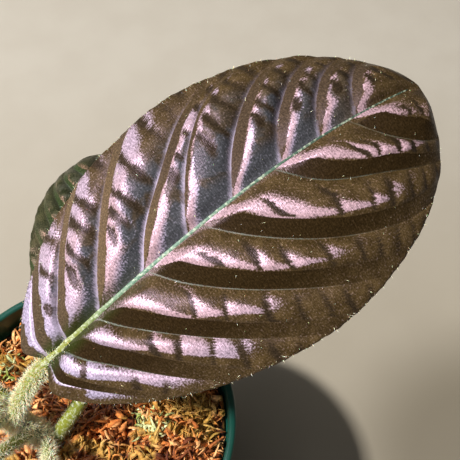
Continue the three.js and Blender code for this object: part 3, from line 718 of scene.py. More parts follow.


# %% [markdown]
# Over the flesh lie a fine grain, dark green along the midrib up to the middle of the blade, and pale hairs
# in a line over each side vein, fewer towards the margin and the tip. On the left half the side that rises
# from a vein catches the light, so its line is painted wider, brighter and less even: a painted highlight
# over the pale hairs. Single short hairs show as bright grains. The under face is dull red-brown with green
# veins.

# %% Green midrib, and pale vein hairs with a painted highlight
def hairs_and_green(tree, on, hue, flesh):
    """The blade's colour with all that lies over its flesh, and the lines of hairs."""
    fine = add(tree, "ShaderNodeMapRange", on.grains, 0.35, 0.7, 0.72, 1.3)
    streaks = add(tree, "ShaderNodeMapRange", on.strokes, 0.3, 0.75, 0.75, 1.3)
    fine = add(tree, "ShaderNodeMath", streaks, fine)
    grey = add(tree, "ShaderNodeCombineColor", fine, fine, fine)
    flesh = add(tree, "ShaderNodeMix", 1.0, flesh, grey, blend_type="MULTIPLY")
    greened = add(tree, "ShaderNodeMapRange", on.rib_mm, 5.0, 0.8)
    greened = add(tree, "ShaderNodeMath", greened, add(tree, "ShaderNodeMapRange", on.along, 0.4, 0.02))
    flesh = add(tree, "ShaderNodeMix", greened, flesh, "#27300f")
    # painted highlight: on the left half the line beside a vein is wider and brighter
    glow = add(tree, "ShaderNodeMath", on.before, on.left)
    near = add(tree, "ShaderNodeMapRange", glow, 0.0, 1.0, 0.26, 1.15)
    bright = add(tree, "ShaderNodeMapRange", glow, 0.0, 1.0, 0.55, 0.85)
    sway = add(tree, "ShaderNodeMapRange", on.strokes, 0.3, 0.7, -0.12, 0.12)
    sway = add(tree, "ShaderNodeMath", sway, add(tree, "ShaderNodeMapRange", glow, 0.0, 1.0, 1.0, 3.0))
    line = add(tree, "ShaderNodeMath", on.vein_mm, sway, operation="ADD")
    line = add(tree, "ShaderNodeMapRange", line, near, 0.08)
    shown = add(tree, "ShaderNodeMapRange", on.across, 0.95, 0.3, 0.0, bright)
    thinned = add(tree, "ShaderNodeMapRange", on.drift, 0.35, 0.6, 0.35, 1.0)
    for share in (thinned, add(tree, "ShaderNodeMapRange", on.along, 0.95, 0.3, 0.35, 1.0), line):
        shown = add(tree, "ShaderNodeMath", shown, share)
    pale = add(tree, "ShaderNodeMix", on.left, hue["right_vein"], hue["left_vein"])
    flesh = add(tree, "ShaderNodeMix", shown, flesh, pale)
    speck = add(tree, "ShaderNodeMapRange", on.grains, 0.68, 0.8, 0.0, 0.35)
    flesh = add(tree, "ShaderNodeMix", speck, flesh, "#9a9488")
    under_vein = add(tree, "ShaderNodeMapRange", on.vein_mm, 0.7, 0.2)
    under = add(tree, "ShaderNodeMix", under_vein, "#5d4a40", "#7c8458")
    return add(tree, "ShaderNodeMix", on.upper, under, flesh), line


# %% [markdown]
# The film has a high index of refraction and a pink tint, so it shines where a shoulder mirrors the lamp;
# elsewhere its muted pink is a painted sheen in the base colour. The mirror is as strong as the film, and
# hairs and the under face are dull. One finish serves three skins: the mature one, the greener one of the
# leaf in shade, and the young one.

# %% Leaf finish
def leaf_finish(name, **hue):
    material, tree, shader, _ = new_finish(name)
    on = leaf_marks(tree)
    flesh, bloom, bare = flesh_and_film(tree, on, hue)
    colour, line = hairs_and_green(tree, on, hue, flesh)
    rough = add(tree, "ShaderNodeMapRange", on.strokes, 0.3, 0.7, 0.31, 0.44)
    matt = add(tree, "ShaderNodeMapRange", on.upper, 1.0, 0.0, 0.0, 0.6)
    for dull in (matt, add(tree, "ShaderNodeMath", line, 0.55)):
        rough = add(tree, "ShaderNodeMath", rough, dull, operation="MAXIMUM")
    mirror = add(tree, "ShaderNodeMapRange", bloom, 0.0, 1.0, 0.16, 0.5)
    covered = add(tree, "ShaderNodeMapRange", bare, 0.0, 1.0, 1.0, 0.3)
    for share in (covered, add(tree, "ShaderNodeMapRange", on.grains, 0.35, 0.65, 0.62, 1.2)):
        mirror = add(tree, "ShaderNodeMath", mirror, share)
    bumps = add(tree, "ShaderNodeBump", {"Height": on.strokes, "Distance": 0.1 * MM})
    wire(tree, shader, {
        "Base Color": colour, "Roughness": rough, "Normal": bumps, "IOR": 2.0,
        "Specular IOR Level": mirror, "Specular Tint": hue["tint"]})
    print(name, len(tree.nodes), "nodes")
    return material


# slate, film and lilac are painted reflection and sheen; notch and the four walls are painted light and
# shade; left_vein is brighter by a painted highlight
MATURE = dict(
    ground="#4b3d24", deep="#3b2f18", slate="#3f4248", film="#a08691", lilac="#8f88a2", notch="#2b2317",
    right_wall="#281e0e", left_wall="#594a38", far_wall="#40352a", basal_wall="#453a2c",
    right_vein="#6f7b72", left_vein="#a59cb6", tint="#ffe0f0",
)
SHADED = dict(
    ground="#3d3f2a", deep="#2c3020", slate="#3f443a", film="#6d5b4a", lilac="#585a4e", notch="#1b2412",
    right_wall="#1d2913", left_wall="#2b3720", far_wall="#2b3720", basal_wall="#2b3720",
    right_vein="#54685a", left_vein="#54685a", tint="#ffc9b4",
)
YOUNG = dict(MATURE, ground="#4b4a25", deep="#3a3a1c", film="#7d7a58", tint="#ffe0e0")
YOUNG.update(right_vein="#a9ac90", left_vein="#a9ac90")
mature_leaf = leaf_finish("mature_leaf_skin", **MATURE)
shaded_leaf = leaf_finish("shaded_leaf_skin", **SHADED)
young_skin = leaf_finish("young_leaf_skin", **YOUNG)

# %% [markdown]
# Stalk and midrib are one tapering cord of tissue: it leaves the stem, bends into line with the blade
# and runs on along its underside, standing a little proud of the upper face as the pale midrib. Its skin
# is olive green on the free stalk, blue-green on the midrib and darker at the tip, with pale flecks 1 mm
# wide, which stand for short hairs pressed to it. A curve with a bevel would give the same bar, but here
# the mesh is laid ring by ring, so that each point can carry the direction it grows in, for its hairs.

# %% Stem and stalks
STEM_PATH = np.array([
    [-8.2, -5.5, 48], [-8.2, -5.5, 58], [-8.4, -5.4, 67], [-10.6, -4.7, 74],
    [-14.6, -3.4, 80], [-18.4, -2.3, 84.6], [-21.4, -1.4, 89],
])
MOSS_SHARE = 0.43  # share of the stem's path that lies in the moss
RIB_TIP = 0.35  # mm, the midrib's radius at the blade's tip
SUNK = 0.75  # share of its radius by which the midrib's middle lies under the blade's upper face


def along_path(path, shares):
    """Points at shares of a path's length."""
    chord = np.concatenate([[0], np.cumsum(np.linalg.norm(np.diff(path, axis=0), axis=1))])
    fine = through(chord, path, np.linspace(0, chord[-1], 400))
    run = np.concatenate([[0], np.cumsum(np.linalg.norm(np.diff(fine, axis=0), axis=1))])
    return np.stack([np.interp(np.asarray(shares) * run[-1], run, fine[:, i]) for i in range(3)], -1)


def tube_piece(name, centres, radii, sides, material):
    """A closed round bar along centres, with the direction it grows in stored at every point."""
    centres, radii = np.asarray(centres, float), np.asarray(radii, float)
    tangent = np.gradient(centres, axis=0)
    tangent /= np.linalg.norm(tangent, axis=1)[:, None]
    normal = np.array([1, 0.2, 0.0])
    points, grow, share = [], [], []
    for i, (centre, way, radius) in enumerate(zip(centres, tangent, radii)):
        normal = normal - way * (normal @ way)
        normal /= np.linalg.norm(normal)
        other = np.cross(way, normal)
        for k in range(sides):
            a = 2 * math.pi * k / sides
            points.append(centre + radius * (math.cos(a) * normal + math.sin(a) * other))
            grow.append(way)
            share.append(i / (len(centres) - 1))
    points += [centres[0], centres[-1]]
    grow += [tangent[0], tangent[-1]]
    share += [0, 1]
    faces = []
    last = (len(centres) - 1) * sides
    for k in range(sides):
        n = (k + 1) % sides
        faces.append((len(points) - 2, n, k))
        faces.append((len(points) - 1, last + k, last + n))
        for ring in range(0, last, sides):
            faces.append((ring + k, ring + n, ring + sides + n, ring + sides + k))
    piece = make_piece(name, points, faces, material)
    give_values(piece, "grow", grow, "FLOAT_VECTOR")
    give_values(piece, "share", share)
    return piece


def stalk_course(leaf, stem_steps=40, rib_steps=90):
    """Centres and radii of a stalk and its midrib, and the share of them that is free stalk."""
    start = along_path(STEM_PATH, [MOSS_SHARE + (1 - MOSS_SHARE) * leaf["stalk_from"]])[0]
    radius = leaf["stalk_radius"]
    place, normal, left = midrib_frame(leaf, np.array([0.0]))
    tangent = np.cross(left[0], normal[0])
    end = place[0] - SUNK * radius * normal[0]
    reach = np.linalg.norm(end - start)
    leave = np.array(leaf["leave"]) / np.linalg.norm(leaf["leave"])
    a, b = start + leave * reach * 0.42, end - tangent * reach * 0.22
    s = np.linspace(0, 1, stem_steps + 1)[:, None]
    centres = (1 - s) ** 3 * start + 3 * s * (1 - s) ** 2 * a + 3 * s**2 * (1 - s) * b + s**3 * end
    radii = radius * (1 + 0.12 * (1 - s[:, 0]))
    t = np.linspace(0, 0.97, rib_steps + 1)[1:]
    rib = radius + (RIB_TIP - radius) * t**0.42
    place, normal, _ = midrib_frame(leaf, t * leaf["length"])
    centres = np.concatenate([centres, place - normal * (SUNK * rib)[:, None]])
    return centres, np.concatenate([radii, rib]), stem_steps / (stem_steps + rib_steps)


stalk_skin, tree, shader, place = new_finish("stalk_skin")
share = add(tree, "ShaderNodeAttribute", attribute_name="share").outputs["Fac"]
speck = add(tree, "ShaderNodeTexNoise", {"Vector": place, "Scale": 1.1 / MM, "Detail": 3.0})
core = add(tree, "ShaderNodeMix", add(tree, "ShaderNodeMapRange", share, 0.34, 0.5), "#727a28", "#557662")
core = add(tree, "ShaderNodeMix", add(tree, "ShaderNodeMapRange", share, 0.55, 0.9), core, "#30443a")
pale = add(tree, "ShaderNodeMapRange", speck, 0.47, 0.66, 0.0, 0.6)
flecked = add(tree, "ShaderNodeMix", pale, core, "#b9c4b0")
bumps = add(tree, "ShaderNodeBump", {"Height": speck, "Distance": 0.15 * MM})
wire(tree, shader, {"Base Color": flecked, "Roughness": 0.5, "Normal": bumps})

# %% [markdown]
# The wool. A hair is a thin three-sided cone with a slight bend, and thousands of them stand on the stalk,
# so Geometry Nodes scatter them: the tree takes any surface, reads the direction in which it grows, and
# leans every hair a little forward. The real hairs are about 0.05 mm thick, which is finer than the
# picture can show, so most are drawn 0.1 to 0.2 mm thick at the foot. Moss fibres use the same tree.

# %% Geometry Nodes: things scattered over a surface
PER_MM2 = 1e6  # square millimetres in a square metre
FULL_TURN = 6.283  # radians


def new_tree(name, sizes):
    """A node tree with a mesh in and out, and named sizes with their usual values."""
    tree = bpy.data.node_groups.new(name, "GeometryNodeTree")
    tree.interface.new_socket("Geometry", in_out="INPUT", socket_type="NodeSocketGeometry")
    tree.interface.new_socket("Geometry", in_out="OUTPUT", socket_type="NodeSocketGeometry")
    for label, value in sizes.items():
        tree.interface.new_socket(label, in_out="INPUT", socket_type="NodeSocketFloat").default_value = value
    return tree, add(tree, "NodeGroupInput").outputs


def finish_tree(tree, geometry, material):
    """Turns instances to mesh, gives them their material and hands the result out."""
    real = add(tree, "GeometryNodeRealizeInstances", geometry)
    finished = add(tree, "GeometryNodeSetMaterial", {"Geometry": real, "Material": material})
    add(tree, "NodeGroupOutput", finished)


def grow(name, source, tree, **sizes):
    """Runs a tree on a copy of a piece's mesh and keeps the result as a plain mesh of its own."""
    grower = bpy.data.objects.new(name + "_grower", source.data)
    scene.collection.objects.link(grower)
    modifier = grower.modifiers.new("tree", "NODES")
    modifier.node_group = tree
    for item in tree.interface.items_tree:
        if item.in_out == "INPUT" and item.name in sizes:
            modifier[item.identifier] = sizes[item.name]
    grown = grower.evaluated_get(bpy.context.evaluated_depsgraph_get())
    mesh = bpy.data.meshes.new_from_object(grown)
    bpy.data.objects.remove(grower)
    mesh.name = name
    piece = bpy.data.objects.new(name, mesh)
    scene.collection.objects.link(piece)
    return piece


def scatter_tree(name, mask, add_shapes, material, seed, sizes):
    """Copies of a shape, one unit long, that stand where the surface's attribute mask is above nought."""
    tree, given = new_tree(name, sizes)
    wanted = add(tree, "GeometryNodeInputNamedAttribute", mask, data_type="FLOAT")
    density = add(tree, "ShaderNodeMath", given["Count a mm2"], wanted)
    density = add(tree, "ShaderNodeMath", density, PER_MM2)
    points = add(tree, "GeometryNodeDistributePointsOnFaces", {
        "Mesh": given["Geometry"], "Density": density, "Seed": seed})
    way = add(tree, "GeometryNodeInputNamedAttribute", "grow", data_type="FLOAT_VECTOR")
    lean = add(tree, "ShaderNodeVectorMath", way, given["Lean"], operation="SCALE")
    shake = (-1, -1, -1), (1, 1, 1), None, seed + 1
    shake = add(tree, "FunctionNodeRandomValue", *shake, data_type="FLOAT_VECTOR")
    shake = add(tree, "ShaderNodeVectorMath", shake, given["Disorder"], operation="SCALE")
    aim = add(tree, "ShaderNodeVectorMath", lean, shake)
    aim = add(tree, "ShaderNodeVectorMath", aim, points.outputs["Normal"])
    stand = add(tree, "FunctionNodeAlignRotationToVector", {"Vector": aim}, axis="Z")
    turn = add(tree, "FunctionNodeRandomValue", 0.0, FULL_TURN, None, seed + 2)
    turn = add(tree, "ShaderNodeCombineXYZ", 0.0, 0.0, turn)
    stand = add(tree, "FunctionNodeRotateRotation", stand, turn, rotation_space="LOCAL")
    long = add(tree, "FunctionNodeRandomValue", 0.45, 1.3, None, seed + 3)
    for share in (given["Length mm"], MM):
        long = add(tree, "ShaderNodeMath", long, share)
    shapes = add(tree, "GeometryNodeJoinGeometry")
    for shape in reversed(add_shapes(tree, given)):
        tree.links.new(add(tree, "GeometryNodeGeometryToInstance", shape).outputs[0], shapes.inputs[0])
    which = add(tree, "FunctionNodeRandomValue", 0, 99, None, seed + 5, data_type="INT")
    stood = add(tree, "GeometryNodeInstanceOnPoints", {
        "Points": points, "Instance": shapes, "Rotation": stand, "Scale": long, "Pick Instance": True,
        "Instance Index": which})
    shade = add(tree, "FunctionNodeRandomValue", 0.0, 1.0, None, seed + 4)
    shaded = {"Geometry": stood, "Name": "shade", "Value": shade}
    marked = add(tree, "GeometryNodeStoreNamedAttribute", shaded, data_type="FLOAT", domain="INSTANCE")
    finish_tree(tree, marked, material)
    return tree


def bent_hair(tree, given):
    """One hair along Z: a three-sided cone whose tip bows to the side."""
    cone = add(tree, "GeometryNodeMeshCone", {
        "Vertices": 3, "Side Segments": 2, "Radius Bottom": given["Thickness share"], "Radius Top": 0.0,
        "Depth": 1.0})
    height = add(tree, "ShaderNodeSeparateXYZ", add(tree, "GeometryNodeInputPosition")).outputs["Z"]
    bow = add(tree, "ShaderNodeMath", add(tree, "ShaderNodeMath", height, 2.0, operation="POWER"), 0.4)
    bow = add(tree, "ShaderNodeCombineXYZ", bow)
    return [add(tree, "GeometryNodeSetPosition", {"Geometry": cone, "Offset": bow})]


# %% [markdown]
# Woolly hair: dry, hollow plant hairs are off-white and dull, and they let light through, so a thick fleece
# of them is as bright as paper. A second tree sets far shorter, sparser hairs on a blade's upper face.

# %% Wool finish, and the hairs' trees
wool_finish, tree, shader, _ = new_finish("dry_plant_wool")
shade = add(tree, "ShaderNodeAttribute", attribute_name="shade").outputs["Fac"]
colour = add(tree, "ShaderNodeMix", add(tree, "ShaderNodeMapRange", shade, 0.2, 1.0), "#e8deb4", "#fffae2")
wire(tree, shader, {
    "Base Color": colour, "Roughness": 0.55, "Subsurface Weight": 0.3, "Subsurface Scale": 0.4 * MM})
wool_tree = scatter_tree("plant_wool", "wool", bent_hair, wool_finish, 11, {
    "Count a mm2": 9.0, "Length mm": 1.8, "Thickness share": 0.05, "Lean": 0.35, "Disorder": 0.45})
blade_hair_tree = scatter_tree("blade_hairs", "hairs", bent_hair, wool_finish, 83, {
    "Count a mm2": 1.0, "Length mm": 0.8, "Thickness share": 0.08, "Lean": 0.0, "Disorder": 0.9})

# %% [markdown]
# Every leaf is three pieces that ride together: the blade, the stalk with its midrib, and the wool on the
# stalk. The big leaf and the young one also have hairs on the blade: the big one a few, and a fringe of
# them along its margin, the young one many.

# %% The leaves
STALK_SIDES = 14
SKINS = {"leaf_2": shaded_leaf, "young_leaf": young_skin}
WOOL = {"leaf_1": (8.0, 1.45, 0.045), "leaf_2": (0.8, 0.9, 0.05)}  # count a mm2, length, thickness share
USUAL_WOOL = (4.5, 1.6, 0.05)
for name, leaf in LEAVES.items():
    blade = blade_piece(name + "_blade", leaf, SKINS.get(name, mature_leaf))
    install(blade, name)
    if name in ("leaf_1", "young_leaf"):
        fringe = smooth_step(0.965, 1, read_values(blade, "across"))
        few = read_values(blade, "upper") * (0.03 + 1.3 * fringe)
        give_values(blade, "hairs", few if name == "leaf_1" else np.full(len(few), 4.0))
        install(grow(name + "_hairs", blade, blade_hair_tree), name)
    centres, radii, free = stalk_course(leaf)
    stalk = tube_piece(name + "_stalk", centres, radii, STALK_SIDES, stalk_skin)
    give_values(stalk, "wool", 1 - smooth_step(free - 0.02, free + 0.06, read_values(stalk, "share")))
    install(stalk, name)
    sizes = zip(("Count a mm2", "Length mm", "Thickness share"), WOOL.get(name, USUAL_WOOL))
    install(grow(name + "_wool", stalk, wool_tree, **dict(sizes)), name)

# %% [markdown]
# The stem is the same cord of tissue, older and thicker, so the same function makes it. It comes up through
# the moss and bends to the crown, where the wool is at its thickest.

# %% The stem
STEM_SIDES = 20
steps = np.linspace(0, 1, 60)
FOOT_RADIUS, TOP_RADIUS = 3.1, 2.2
radii = FOOT_RADIUS + (TOP_RADIUS - FOOT_RADIUS) * steps
stem = tube_piece("stem_core", along_path(STEM_PATH, steps), radii, STEM_SIDES, stalk_skin)
give_values(stem, "wool", smooth_step(0.4, 0.75, read_values(stem, "share")))
install(stem, "stem")
install(grow("stem_wool", stem, wool_tree, **{"Count a mm2": 14.0, "Length mm": 2.3}), "stem")

# %% [markdown]
# The bud: four pointed scales pressed round the stem's tip, all but hidden in wool. They are made all the
# same, because the wool needs a surface to stand on, and shows its shape.

# %% The bud
def scale_leaf(turn, lean, length, width):
    """One bud scale: an egg shape, pointed at the top, leaning outward from the stem's tip."""
    points, faces = [], []
    rings, sides = 14, 16
    for i in range(rings + 1):
        t = i / rings
        radius = width * math.sin(math.pi * min(1, t**0.75)) ** 0.8 * (1 - 0.35 * t)
        for k in range(sides):
            a = 2 * math.pi * k / sides
            points.append((radius * math.cos(a), radius * 0.72 * math.sin(a), length * t))
    for i in range(rings):
        for k in range(sides):
            a, b = i * sides + k, i * sides + (k + 1) % sides
            faces.append((a, b, b + sides, a + sides))
    points = np.array(points)
    tilt, spin = math.radians(lean), math.radians(turn)
    x, y, z = points.T
    y, z = y * math.cos(tilt) + z * math.sin(tilt), z * math.cos(tilt) - y * math.sin(tilt)
    x, y = x * math.cos(spin) + y * math.sin(spin), y * math.cos(spin) - x * math.sin(spin)
    return np.stack([x, y, z], -1), faces


SCALES = ((20, 13, 7.5, 1.7), (150, 15, 6.5, 1.6), (265, 12, 6, 1.5), (80, 3, 8.5, 1.4))
bud_points, bud_faces = [], []
for turn, lean, length, width in SCALES:
    points, faces = scale_leaf(turn, lean, length, width)
    start = sum(len(p) for p in bud_points)
    bud_points.append(points + STEM_PATH[-1] - (0, 0, 1.0))
    bud_faces += [tuple(i + start for i in face) for face in faces]
bud = make_piece("bud_scales", np.concatenate(bud_points), bud_faces, stalk_skin)
face_outwards(bud)
count = len(bud.data.vertices)
give_values(bud, "wool", np.ones(count))
give_values(bud, "share", np.full(count, 0.2))
give_values(bud, "grow", np.tile((0, 0, 1), (count, 1)), "FLOAT_VECTOR")
install(bud, "bud")
install(grow("bud_wool", bud, wool_tree, **{"Count a mm2": 9.0, "Length mm": 1.9}), "bud")

# %% [markdown]
# Long-fibre moss: a spongy bed of dead moss stems. It could be fibres all the way down, but only the top
# ones show, so they stand on a lumpy bed, as a closed mesh. Its lumps follow the frame's own, and finer
# ones are added.

# %% The moss bed
def chance(seed):
    """A repeatable number from 0 to 1, by the rule that laid out the frame's own lumps."""
    return math.modf(math.sin(seed * 12.9898) * 43758.5453)[0] % 1


LUMPS = []
for lump in range(90):
    angle, distance = 2 * math.pi * chance(lump + 0.3), 39.7 * math.sqrt(chance(lump + 0.7))
    radius, top = 4 + 4.5 * chance(lump + 0.5), 1.2 + 3.0 * chance(lump + 0.9)
    LUMPS.append((distance * math.cos(angle), distance * math.sin(angle), radius, top))
MOSS_LEVEL = 66.5
MOSS_RADIUS = 41.2
UNDERSIDE = ((39.2, 63.6), (29.3, 6.0), (27.6, 4.1))  # radius and height, down the pot's inner wall


def moss_height(x, y):
    """The bed's upper face: lumps, with crumbs on them, level at the pot's wall."""
    height = np.zeros_like(x)
    for cx, cy, radius, top in LUMPS:
        away = np.hypot(x - cx, y - cy) / radius
        height = np.maximum(height, top * np.clip(1 - away**2, 0, 1))
    crumbs = np.sin(x * 2.1 + 1.3 * np.sin(y * 1.7)) * np.sin(y * 2.3 + 1.1 * np.sin(x * 1.9))
    edge = 1 - smooth_step(38.5, MOSS_RADIUS, np.hypot(x, y))
    return MOSS_LEVEL + (height + 1.4 * crumbs) * edge


def moss_bed(material):
    rings, sides = 60, 180
    radii = MOSS_RADIUS * (np.arange(1, rings + 1) / rings)
    a = 2 * math.pi * np.arange(sides) / sides
    x, y = radii[:, None] * np.cos(a), radii[:, None] * np.sin(a)
    points = [np.stack([x, y, moss_height(x, y)], -1).reshape(-1, 3)]
    for radius, z in UNDERSIDE:
        points.append(np.stack([radius * np.cos(a), radius * np.sin(a), np.full(sides, z)], -1))
    crown = float(moss_height(np.zeros(1), np.zeros(1))[0])
    points = np.concatenate(points + [[[0, 0, crown], [0, 0, UNDERSIDE[-1][1]]]])
    faces = []
    for ring in range(rings + 2):
        for k in range(sides):
            a0, a1 = ring * sides + k, ring * sides + (k + 1) % sides
            faces.append((a0, a0 + sides, a1 + sides, a1))
    top, bottom, last = len(points) - 2, len(points) - 1, (rings + 2) * sides
    for k in range(sides):
        faces.append((top, k, (k + 1) % sides))
        faces.append((bottom, last + (k + 1) % sides, last + k))
    return make_piece("moss_bed", points, faces, material)


# %% [markdown]
# Dead moss fibre: orange-brown when wet, straw-coloured where it has dried, and golden in patches 13 mm
# wide. The bed is painted nearly black in its holes, darker the lower it lies: painted shade. Live tips are
# pale green. Each fibre's own colour varies from the next, by a number that the tree gives it, so that one
# finish serves thousands of them.

# %% Moss finishes
def moss_finish(name, dark, middle, light, gold):
    material, tree, shader, place = new_finish(name)
    shade = add(tree, "ShaderNodeAttribute", attribute_name="shade").outputs["Fac"]
    grain = add(tree, "ShaderNodeTexNoise", {"Vector": place, "Scale": 0.9 / MM, "Detail": 3.0})
    patch = add(tree, "ShaderNodeTexNoise", {"Vector": place, "Scale": 0.06 / MM, "Detail": 2.0})
    mixed = add(tree, "ShaderNodeMath", shade, add(tree, "ShaderNodeMath", patch, 0.5, operation="SUBTRACT"),
                operation="ADD")
    colour = add(tree, "ShaderNodeMix", add(tree, "ShaderNodeMapRange", mixed, 0.0, 0.5), dark, middle)
    colour = add(tree, "ShaderNodeMix", add(tree, "ShaderNodeMapRange", mixed, 0.55, 1.0), colour, light)
    golden = {"Vector": place, "Scale": 0.075 / MM, "Detail": 2.0, "Distortion": 0.5}
    golden = add(tree, "ShaderNodeMapRange", add(tree, "ShaderNodeTexNoise", golden), 0.5, 0.62, 0.0, 0.75)
    colour = add(tree, "ShaderNodeMix", golden, colour, gold)
    grey = add(tree, "ShaderNodeMapRange", grain, 0.3, 0.7, 0.6, 1.25)
    grey = add(tree, "ShaderNodeCombineColor", grey, grey, grey)
    colour = add(tree, "ShaderNodeMix", 1.0, colour, grey, blend_type="MULTIPLY")
    bumps = add(tree, "ShaderNodeBump", {"Height": grain, "Distance": 0.25 * MM})
    wire(tree, shader, {"Base Color": colour, "Roughness": 0.75, "Normal": bumps})
    return material


dead_moss = moss_finish("dead_moss_fibre", "#5e2c10", "#c4763a", "#e6b47a", "#b99a4a")
live_moss = moss_finish("live_moss_tip", "#8a9a48", "#b9c485", "#e2e6c4", "#cfd6a4")
bed = moss_bed(moss_finish("dead_moss_bed", "#2c1307", "#8c4820", "#c27a3c", "#8a7330"))
x, y, z = (read_places(bed) * 1000).T
on_top = (z > MOSS_LEVEL - 0.4) & (np.hypot(x, y) < 39.6)
# painted shade: the bed is darker the lower it lies, nearly black in its hollows
give_values(bed, "shade", np.clip((z - MOSS_LEVEL) / 3, 0, 1))
give_values(bed, "fibre", on_top.astype(float))
LIVE_TUFTS = (  # middle and radius
    (17.0, 2.5, 5.0), (22.0, 0.0, 3.5), (-25.0, 18.0, 4.0),
    (-9.0, -30.0, 5.0), (12.0, 28.0, 5.0), (28.0, -22.0, 4.0),
)
green = np.zeros(len(x))
for middle_x, middle_y, radius in LIVE_TUFTS:
    away = np.hypot(x - middle_x, y - middle_y) / radius
    green = np.maximum(green, 1 - smooth_step(0.5, 1, away))
give_values(bed, "live", green * on_top)
give_values(bed, "grow", np.zeros((len(x), 3)), "FLOAT_VECTOR")
install(bed, "potting_moss")

# %% [markdown]
# A fibre rises from the bed and bends over. Four bends are enough: turned and sized by chance, no two
# fibres look alike. Each is a three-sided tube that thins at both ends, 0.3 to 2 mm wide in the middle.
# Thick fibres lie under thin ones, and pale tips stand where the moss is alive. What would stick out
# through the pot's wall, or into it from under the bed's edge, is pressed back.

# %% Fibres on the bed
FIBRE_BENDS = (
    ((0, 0, -0.08), (0.15, 0.3, 0.45), (0.8, 0.1, 0.12)),
    ((-0.3, 0, -0.05), (0.1, -0.25, 0.5), (0.65, -0.35, -0.05)),
    ((0, 0.1, -0.1), (0.35, 0.1, 0.75), (0.5, -0.3, 0.35)),
    ((-0.4, -0.1, 0.05), (0.0, 0.35, 0.25), (0.5, 0.05, 0.0)),
)
WALL_RADIUS = 41.4  # mm, just inside the pot's wall
LOWEST_FIBRE = 66.3  # mm, just under the bed's edge


def keep_inside(piece):
    """Presses whatever would stick out through the pot's wall against it."""
    places = read_places(piece)
    away = np.hypot(places[:, 0], places[:, 1])
    places[:, :2] *= np.minimum(1, WALL_RADIUS * MM / np.maximum(away, MM))[:, None]
    places[:, 2] = np.maximum(places[:, 2], LOWEST_FIBRE * MM)
    piece.data.vertices.foreach_set("co", places.astype(np.float32).ravel())
    return piece


def fibres(tree, given):
    """The four bends of a fibre, one unit long."""
    shapes = []
    for start, middle, end in FIBRE_BENDS:
        course = add(tree, "GeometryNodeCurveQuadraticBezier", 5, start, middle, end)
        along = add(tree, "GeometryNodeSplineParameter")
        bulge = add(tree, "ShaderNodeMath", add(tree, "ShaderNodeMath", along, 3.1), operation="SINE")
        thick = add(tree, "ShaderNodeMath", bulge, 0.3, operation="ADD")
        thick = add(tree, "ShaderNodeMath", thick, given["Thickness share"])
        section = add(tree, "GeometryNodeCurvePrimitiveCircle", {"Resolution": 3, "Radius": 1.0})
        shapes.append(add(tree, "GeometryNodeCurveToMesh", {
            "Curve": course, "Profile Curve": section, "Scale": thick, "Fill Caps": True}))
    return shapes


moss_sizes = {"Count a mm2": 0.34, "Length mm": 5.5, "Thickness share": 0.13, "Lean": 0.0, "Disorder": 0.75}
FIBRES = {  # the mask they stand on, their finish, their seed, and how they differ from the usual sizes
    "thick_fibres": ("fibre", dead_moss, 31, {}),
    "thin_fibres": ("fibre", dead_moss, 47, {"Count a mm2": 0.48, "Length mm": 7.0, "Thickness share": 0.05}),
    "live_tips": ("live", live_moss, 59, {"Count a mm2": 3.0, "Length mm": 5.0, "Thickness share": 0.07}),
}
for name, (mask, finish, seed, sizes) in FIBRES.items():
    tree = scatter_tree(name, mask, fibres, finish, seed, moss_sizes)
    install(keep_inside(grow("moss_" + name, bed, tree, **sizes)), "potting_moss")

# %% [markdown]
# The pot is a nursery pot of dark green polypropylene, moulded: a thin tapering wall, a stepped rim band to
# grip it by, a recessed floor with six drain holes. A moulding like this is a turned shape, so the tree
# sweeps one profile round a circle and cuts the holes with a ring of pins.

# %% The pot
SWEEP = 20.0  # mm, radius of the circle that carries the profile round
POT_PROFILE = [  # radius and height
    (0, 0), (9, 0), (10.2, 2), (26, 2), (27, 0), (30.4, 0), (31, 0.8), (41.6, 65), (43, 65.7), (43.8, 73.6),
    (44.5, 74.1), (44.5, 75.5), (44, 76), (42.8, 76), (42.3, 75.4), (42, 66.5), (39.7, 64), (29.8, 5.7),
    (28, 3.7), (0, 3.7),
]


def soften(profile, radius):
    """The profile with its corners rounded."""
    profile = np.array(profile, float)
    points = [profile[0]]
    for before, corner, after in zip(profile, profile[1:], profile[2:]):
        back, on = before - corner, after - corner
        near = min(radius, 0.45 * np.linalg.norm(back), 0.45 * np.linalg.norm(on))
        a, b = corner + back / np.linalg.norm(back) * near, corner + on / np.linalg.norm(on) * near
        points += [(1 - s) ** 2 * a + 2 * s * (1 - s) * corner + s * s * b for s in (0, 0.33, 0.67, 1)]
    return np.array(points + [profile[-1]])


plastic, tree, shader, place = new_finish("moulded_polypropylene")
pits = add(tree, "ShaderNodeTexNoise", {"Vector": place, "Scale": 2.6 / MM, "Detail": 2.0})
cloud = add(tree, "ShaderNodeTexNoise", {"Vector": place, "Scale": 0.06 / MM, "Detail": 5.0})
colour = add(tree, "ShaderNodeMix", add(tree, "ShaderNodeMapRange", cloud, 0.35, 0.7), "#0d3b33", "#16493f")
rough = add(tree, "ShaderNodeMapRange", cloud, 0.3, 0.7, 0.34, 0.5)
bumps = add(tree, "ShaderNodeBump", {"Height": pits, "Distance": 0.04 * MM})
wire(tree, shader, {"Base Color": colour, "Roughness": rough, "Normal": bumps, "IOR": 1.49})

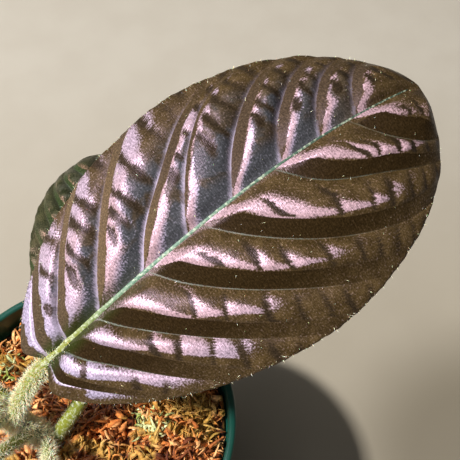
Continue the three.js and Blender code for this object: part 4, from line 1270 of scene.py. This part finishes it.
pot_sizes = {"Sweep radius mm": SWEEP, "Hole radius mm": 4.0, "Hole circle mm": 18.5}
tree, given = new_tree("turned_pot", pot_sizes)
metres = {size: add(tree, "ShaderNodeMath", given[size], MM) for size in pot_sizes}
section = add(tree, "GeometryNodeMeshToCurve", given["Geometry"])
course = {"Resolution": 160, "Radius": metres["Sweep radius mm"]}
course = add(tree, "GeometryNodeCurvePrimitiveCircle", course)
swept = add(tree, "GeometryNodeCurveToMesh", {"Curve": course, "Profile Curve": section})
closed = add(tree, "GeometryNodeMergeByDistance", {"Geometry": swept, "Distance": TOGETHER})
ring = add(tree, "GeometryNodeMeshCircle", {"Vertices": 6, "Radius": metres["Hole circle mm"]})
pin = {"Vertices": 40, "Radius": metres["Hole radius mm"], "Depth": 20 * MM}
pin = add(tree, "GeometryNodeMeshCylinder", pin)
pins = add(tree, "GeometryNodeInstanceOnPoints", {"Points": ring, "Instance": pin})
pins = add(tree, "GeometryNodeTransform", {"Geometry": pins, "Rotation": (0, 0, math.radians(30))})
pins = add(tree, "GeometryNodeRealizeInstances", pins)
holed = add(tree, "GeometryNodeMeshBoolean", {"Mesh 1": closed, "Mesh 2": pins}, solver="EXACT")
finish_tree(tree, holed, plastic)

profile = soften(POT_PROFILE, 0.5)
outline_mm = np.stack([profile[:, 0] - SWEEP, -profile[:, 1], np.zeros(len(profile))], -1)
mesh = bpy.data.meshes.new("pot_profile")
mesh.from_pydata((outline_mm * MM).tolist(), [(i, i + 1) for i in range(len(profile) - 1)], [])
pot_profile = bpy.data.objects.new("pot_profile", mesh)
pot = grow("pot_turned", pot_profile, tree)
places = read_places(pot) * 1000
print("pot from", places.min(0), "to", places.max(0))
bpy.data.objects.remove(pot_profile)
face_outwards(pot, join=False)
pot.data.shade_smooth()
install(pot, "pot")

# %% [markdown]
# Light linking tells a lamp what it lights and what throws its shade. The table lamp lights only the table
# and is shaded only by the pot and its moss. The plant's own lamp leaves the table out, and the blades of
# two leaves and the young one, which the photograph doesn't show, throw no shade in it: so the moss lies
# in the sun as photographed.

# %% What each lamp lights
def choose(name, pieces, state="INCLUDE"):
    """A collection of pieces for a lamp to take in, or to leave out."""
    chosen = bpy.data.collections.new(name)
    for number, piece in enumerate(pieces):
        chosen.objects.link(piece)
        chosen.collection_objects[number].light_linking.link_state = state
    return chosen


table_lamp.light_linking.receiver_collection = choose("table_alone", [table])
table_lamp.light_linking.blocker_collection = choose("pot_and_moss", [pot, bed])
plant_lamp.light_linking.receiver_collection = choose("all_but_table", [table], "EXCLUDE")
guessed = [bpy.data.objects[name] for name in ("leaf_3_blade", "leaf_4_blade", "young_leaf_blade")]
plant_lamp.light_linking.blocker_collection = choose("all_but_guessed", guessed, "EXCLUDE")
print("no shade from:", [piece.name for piece in guessed])
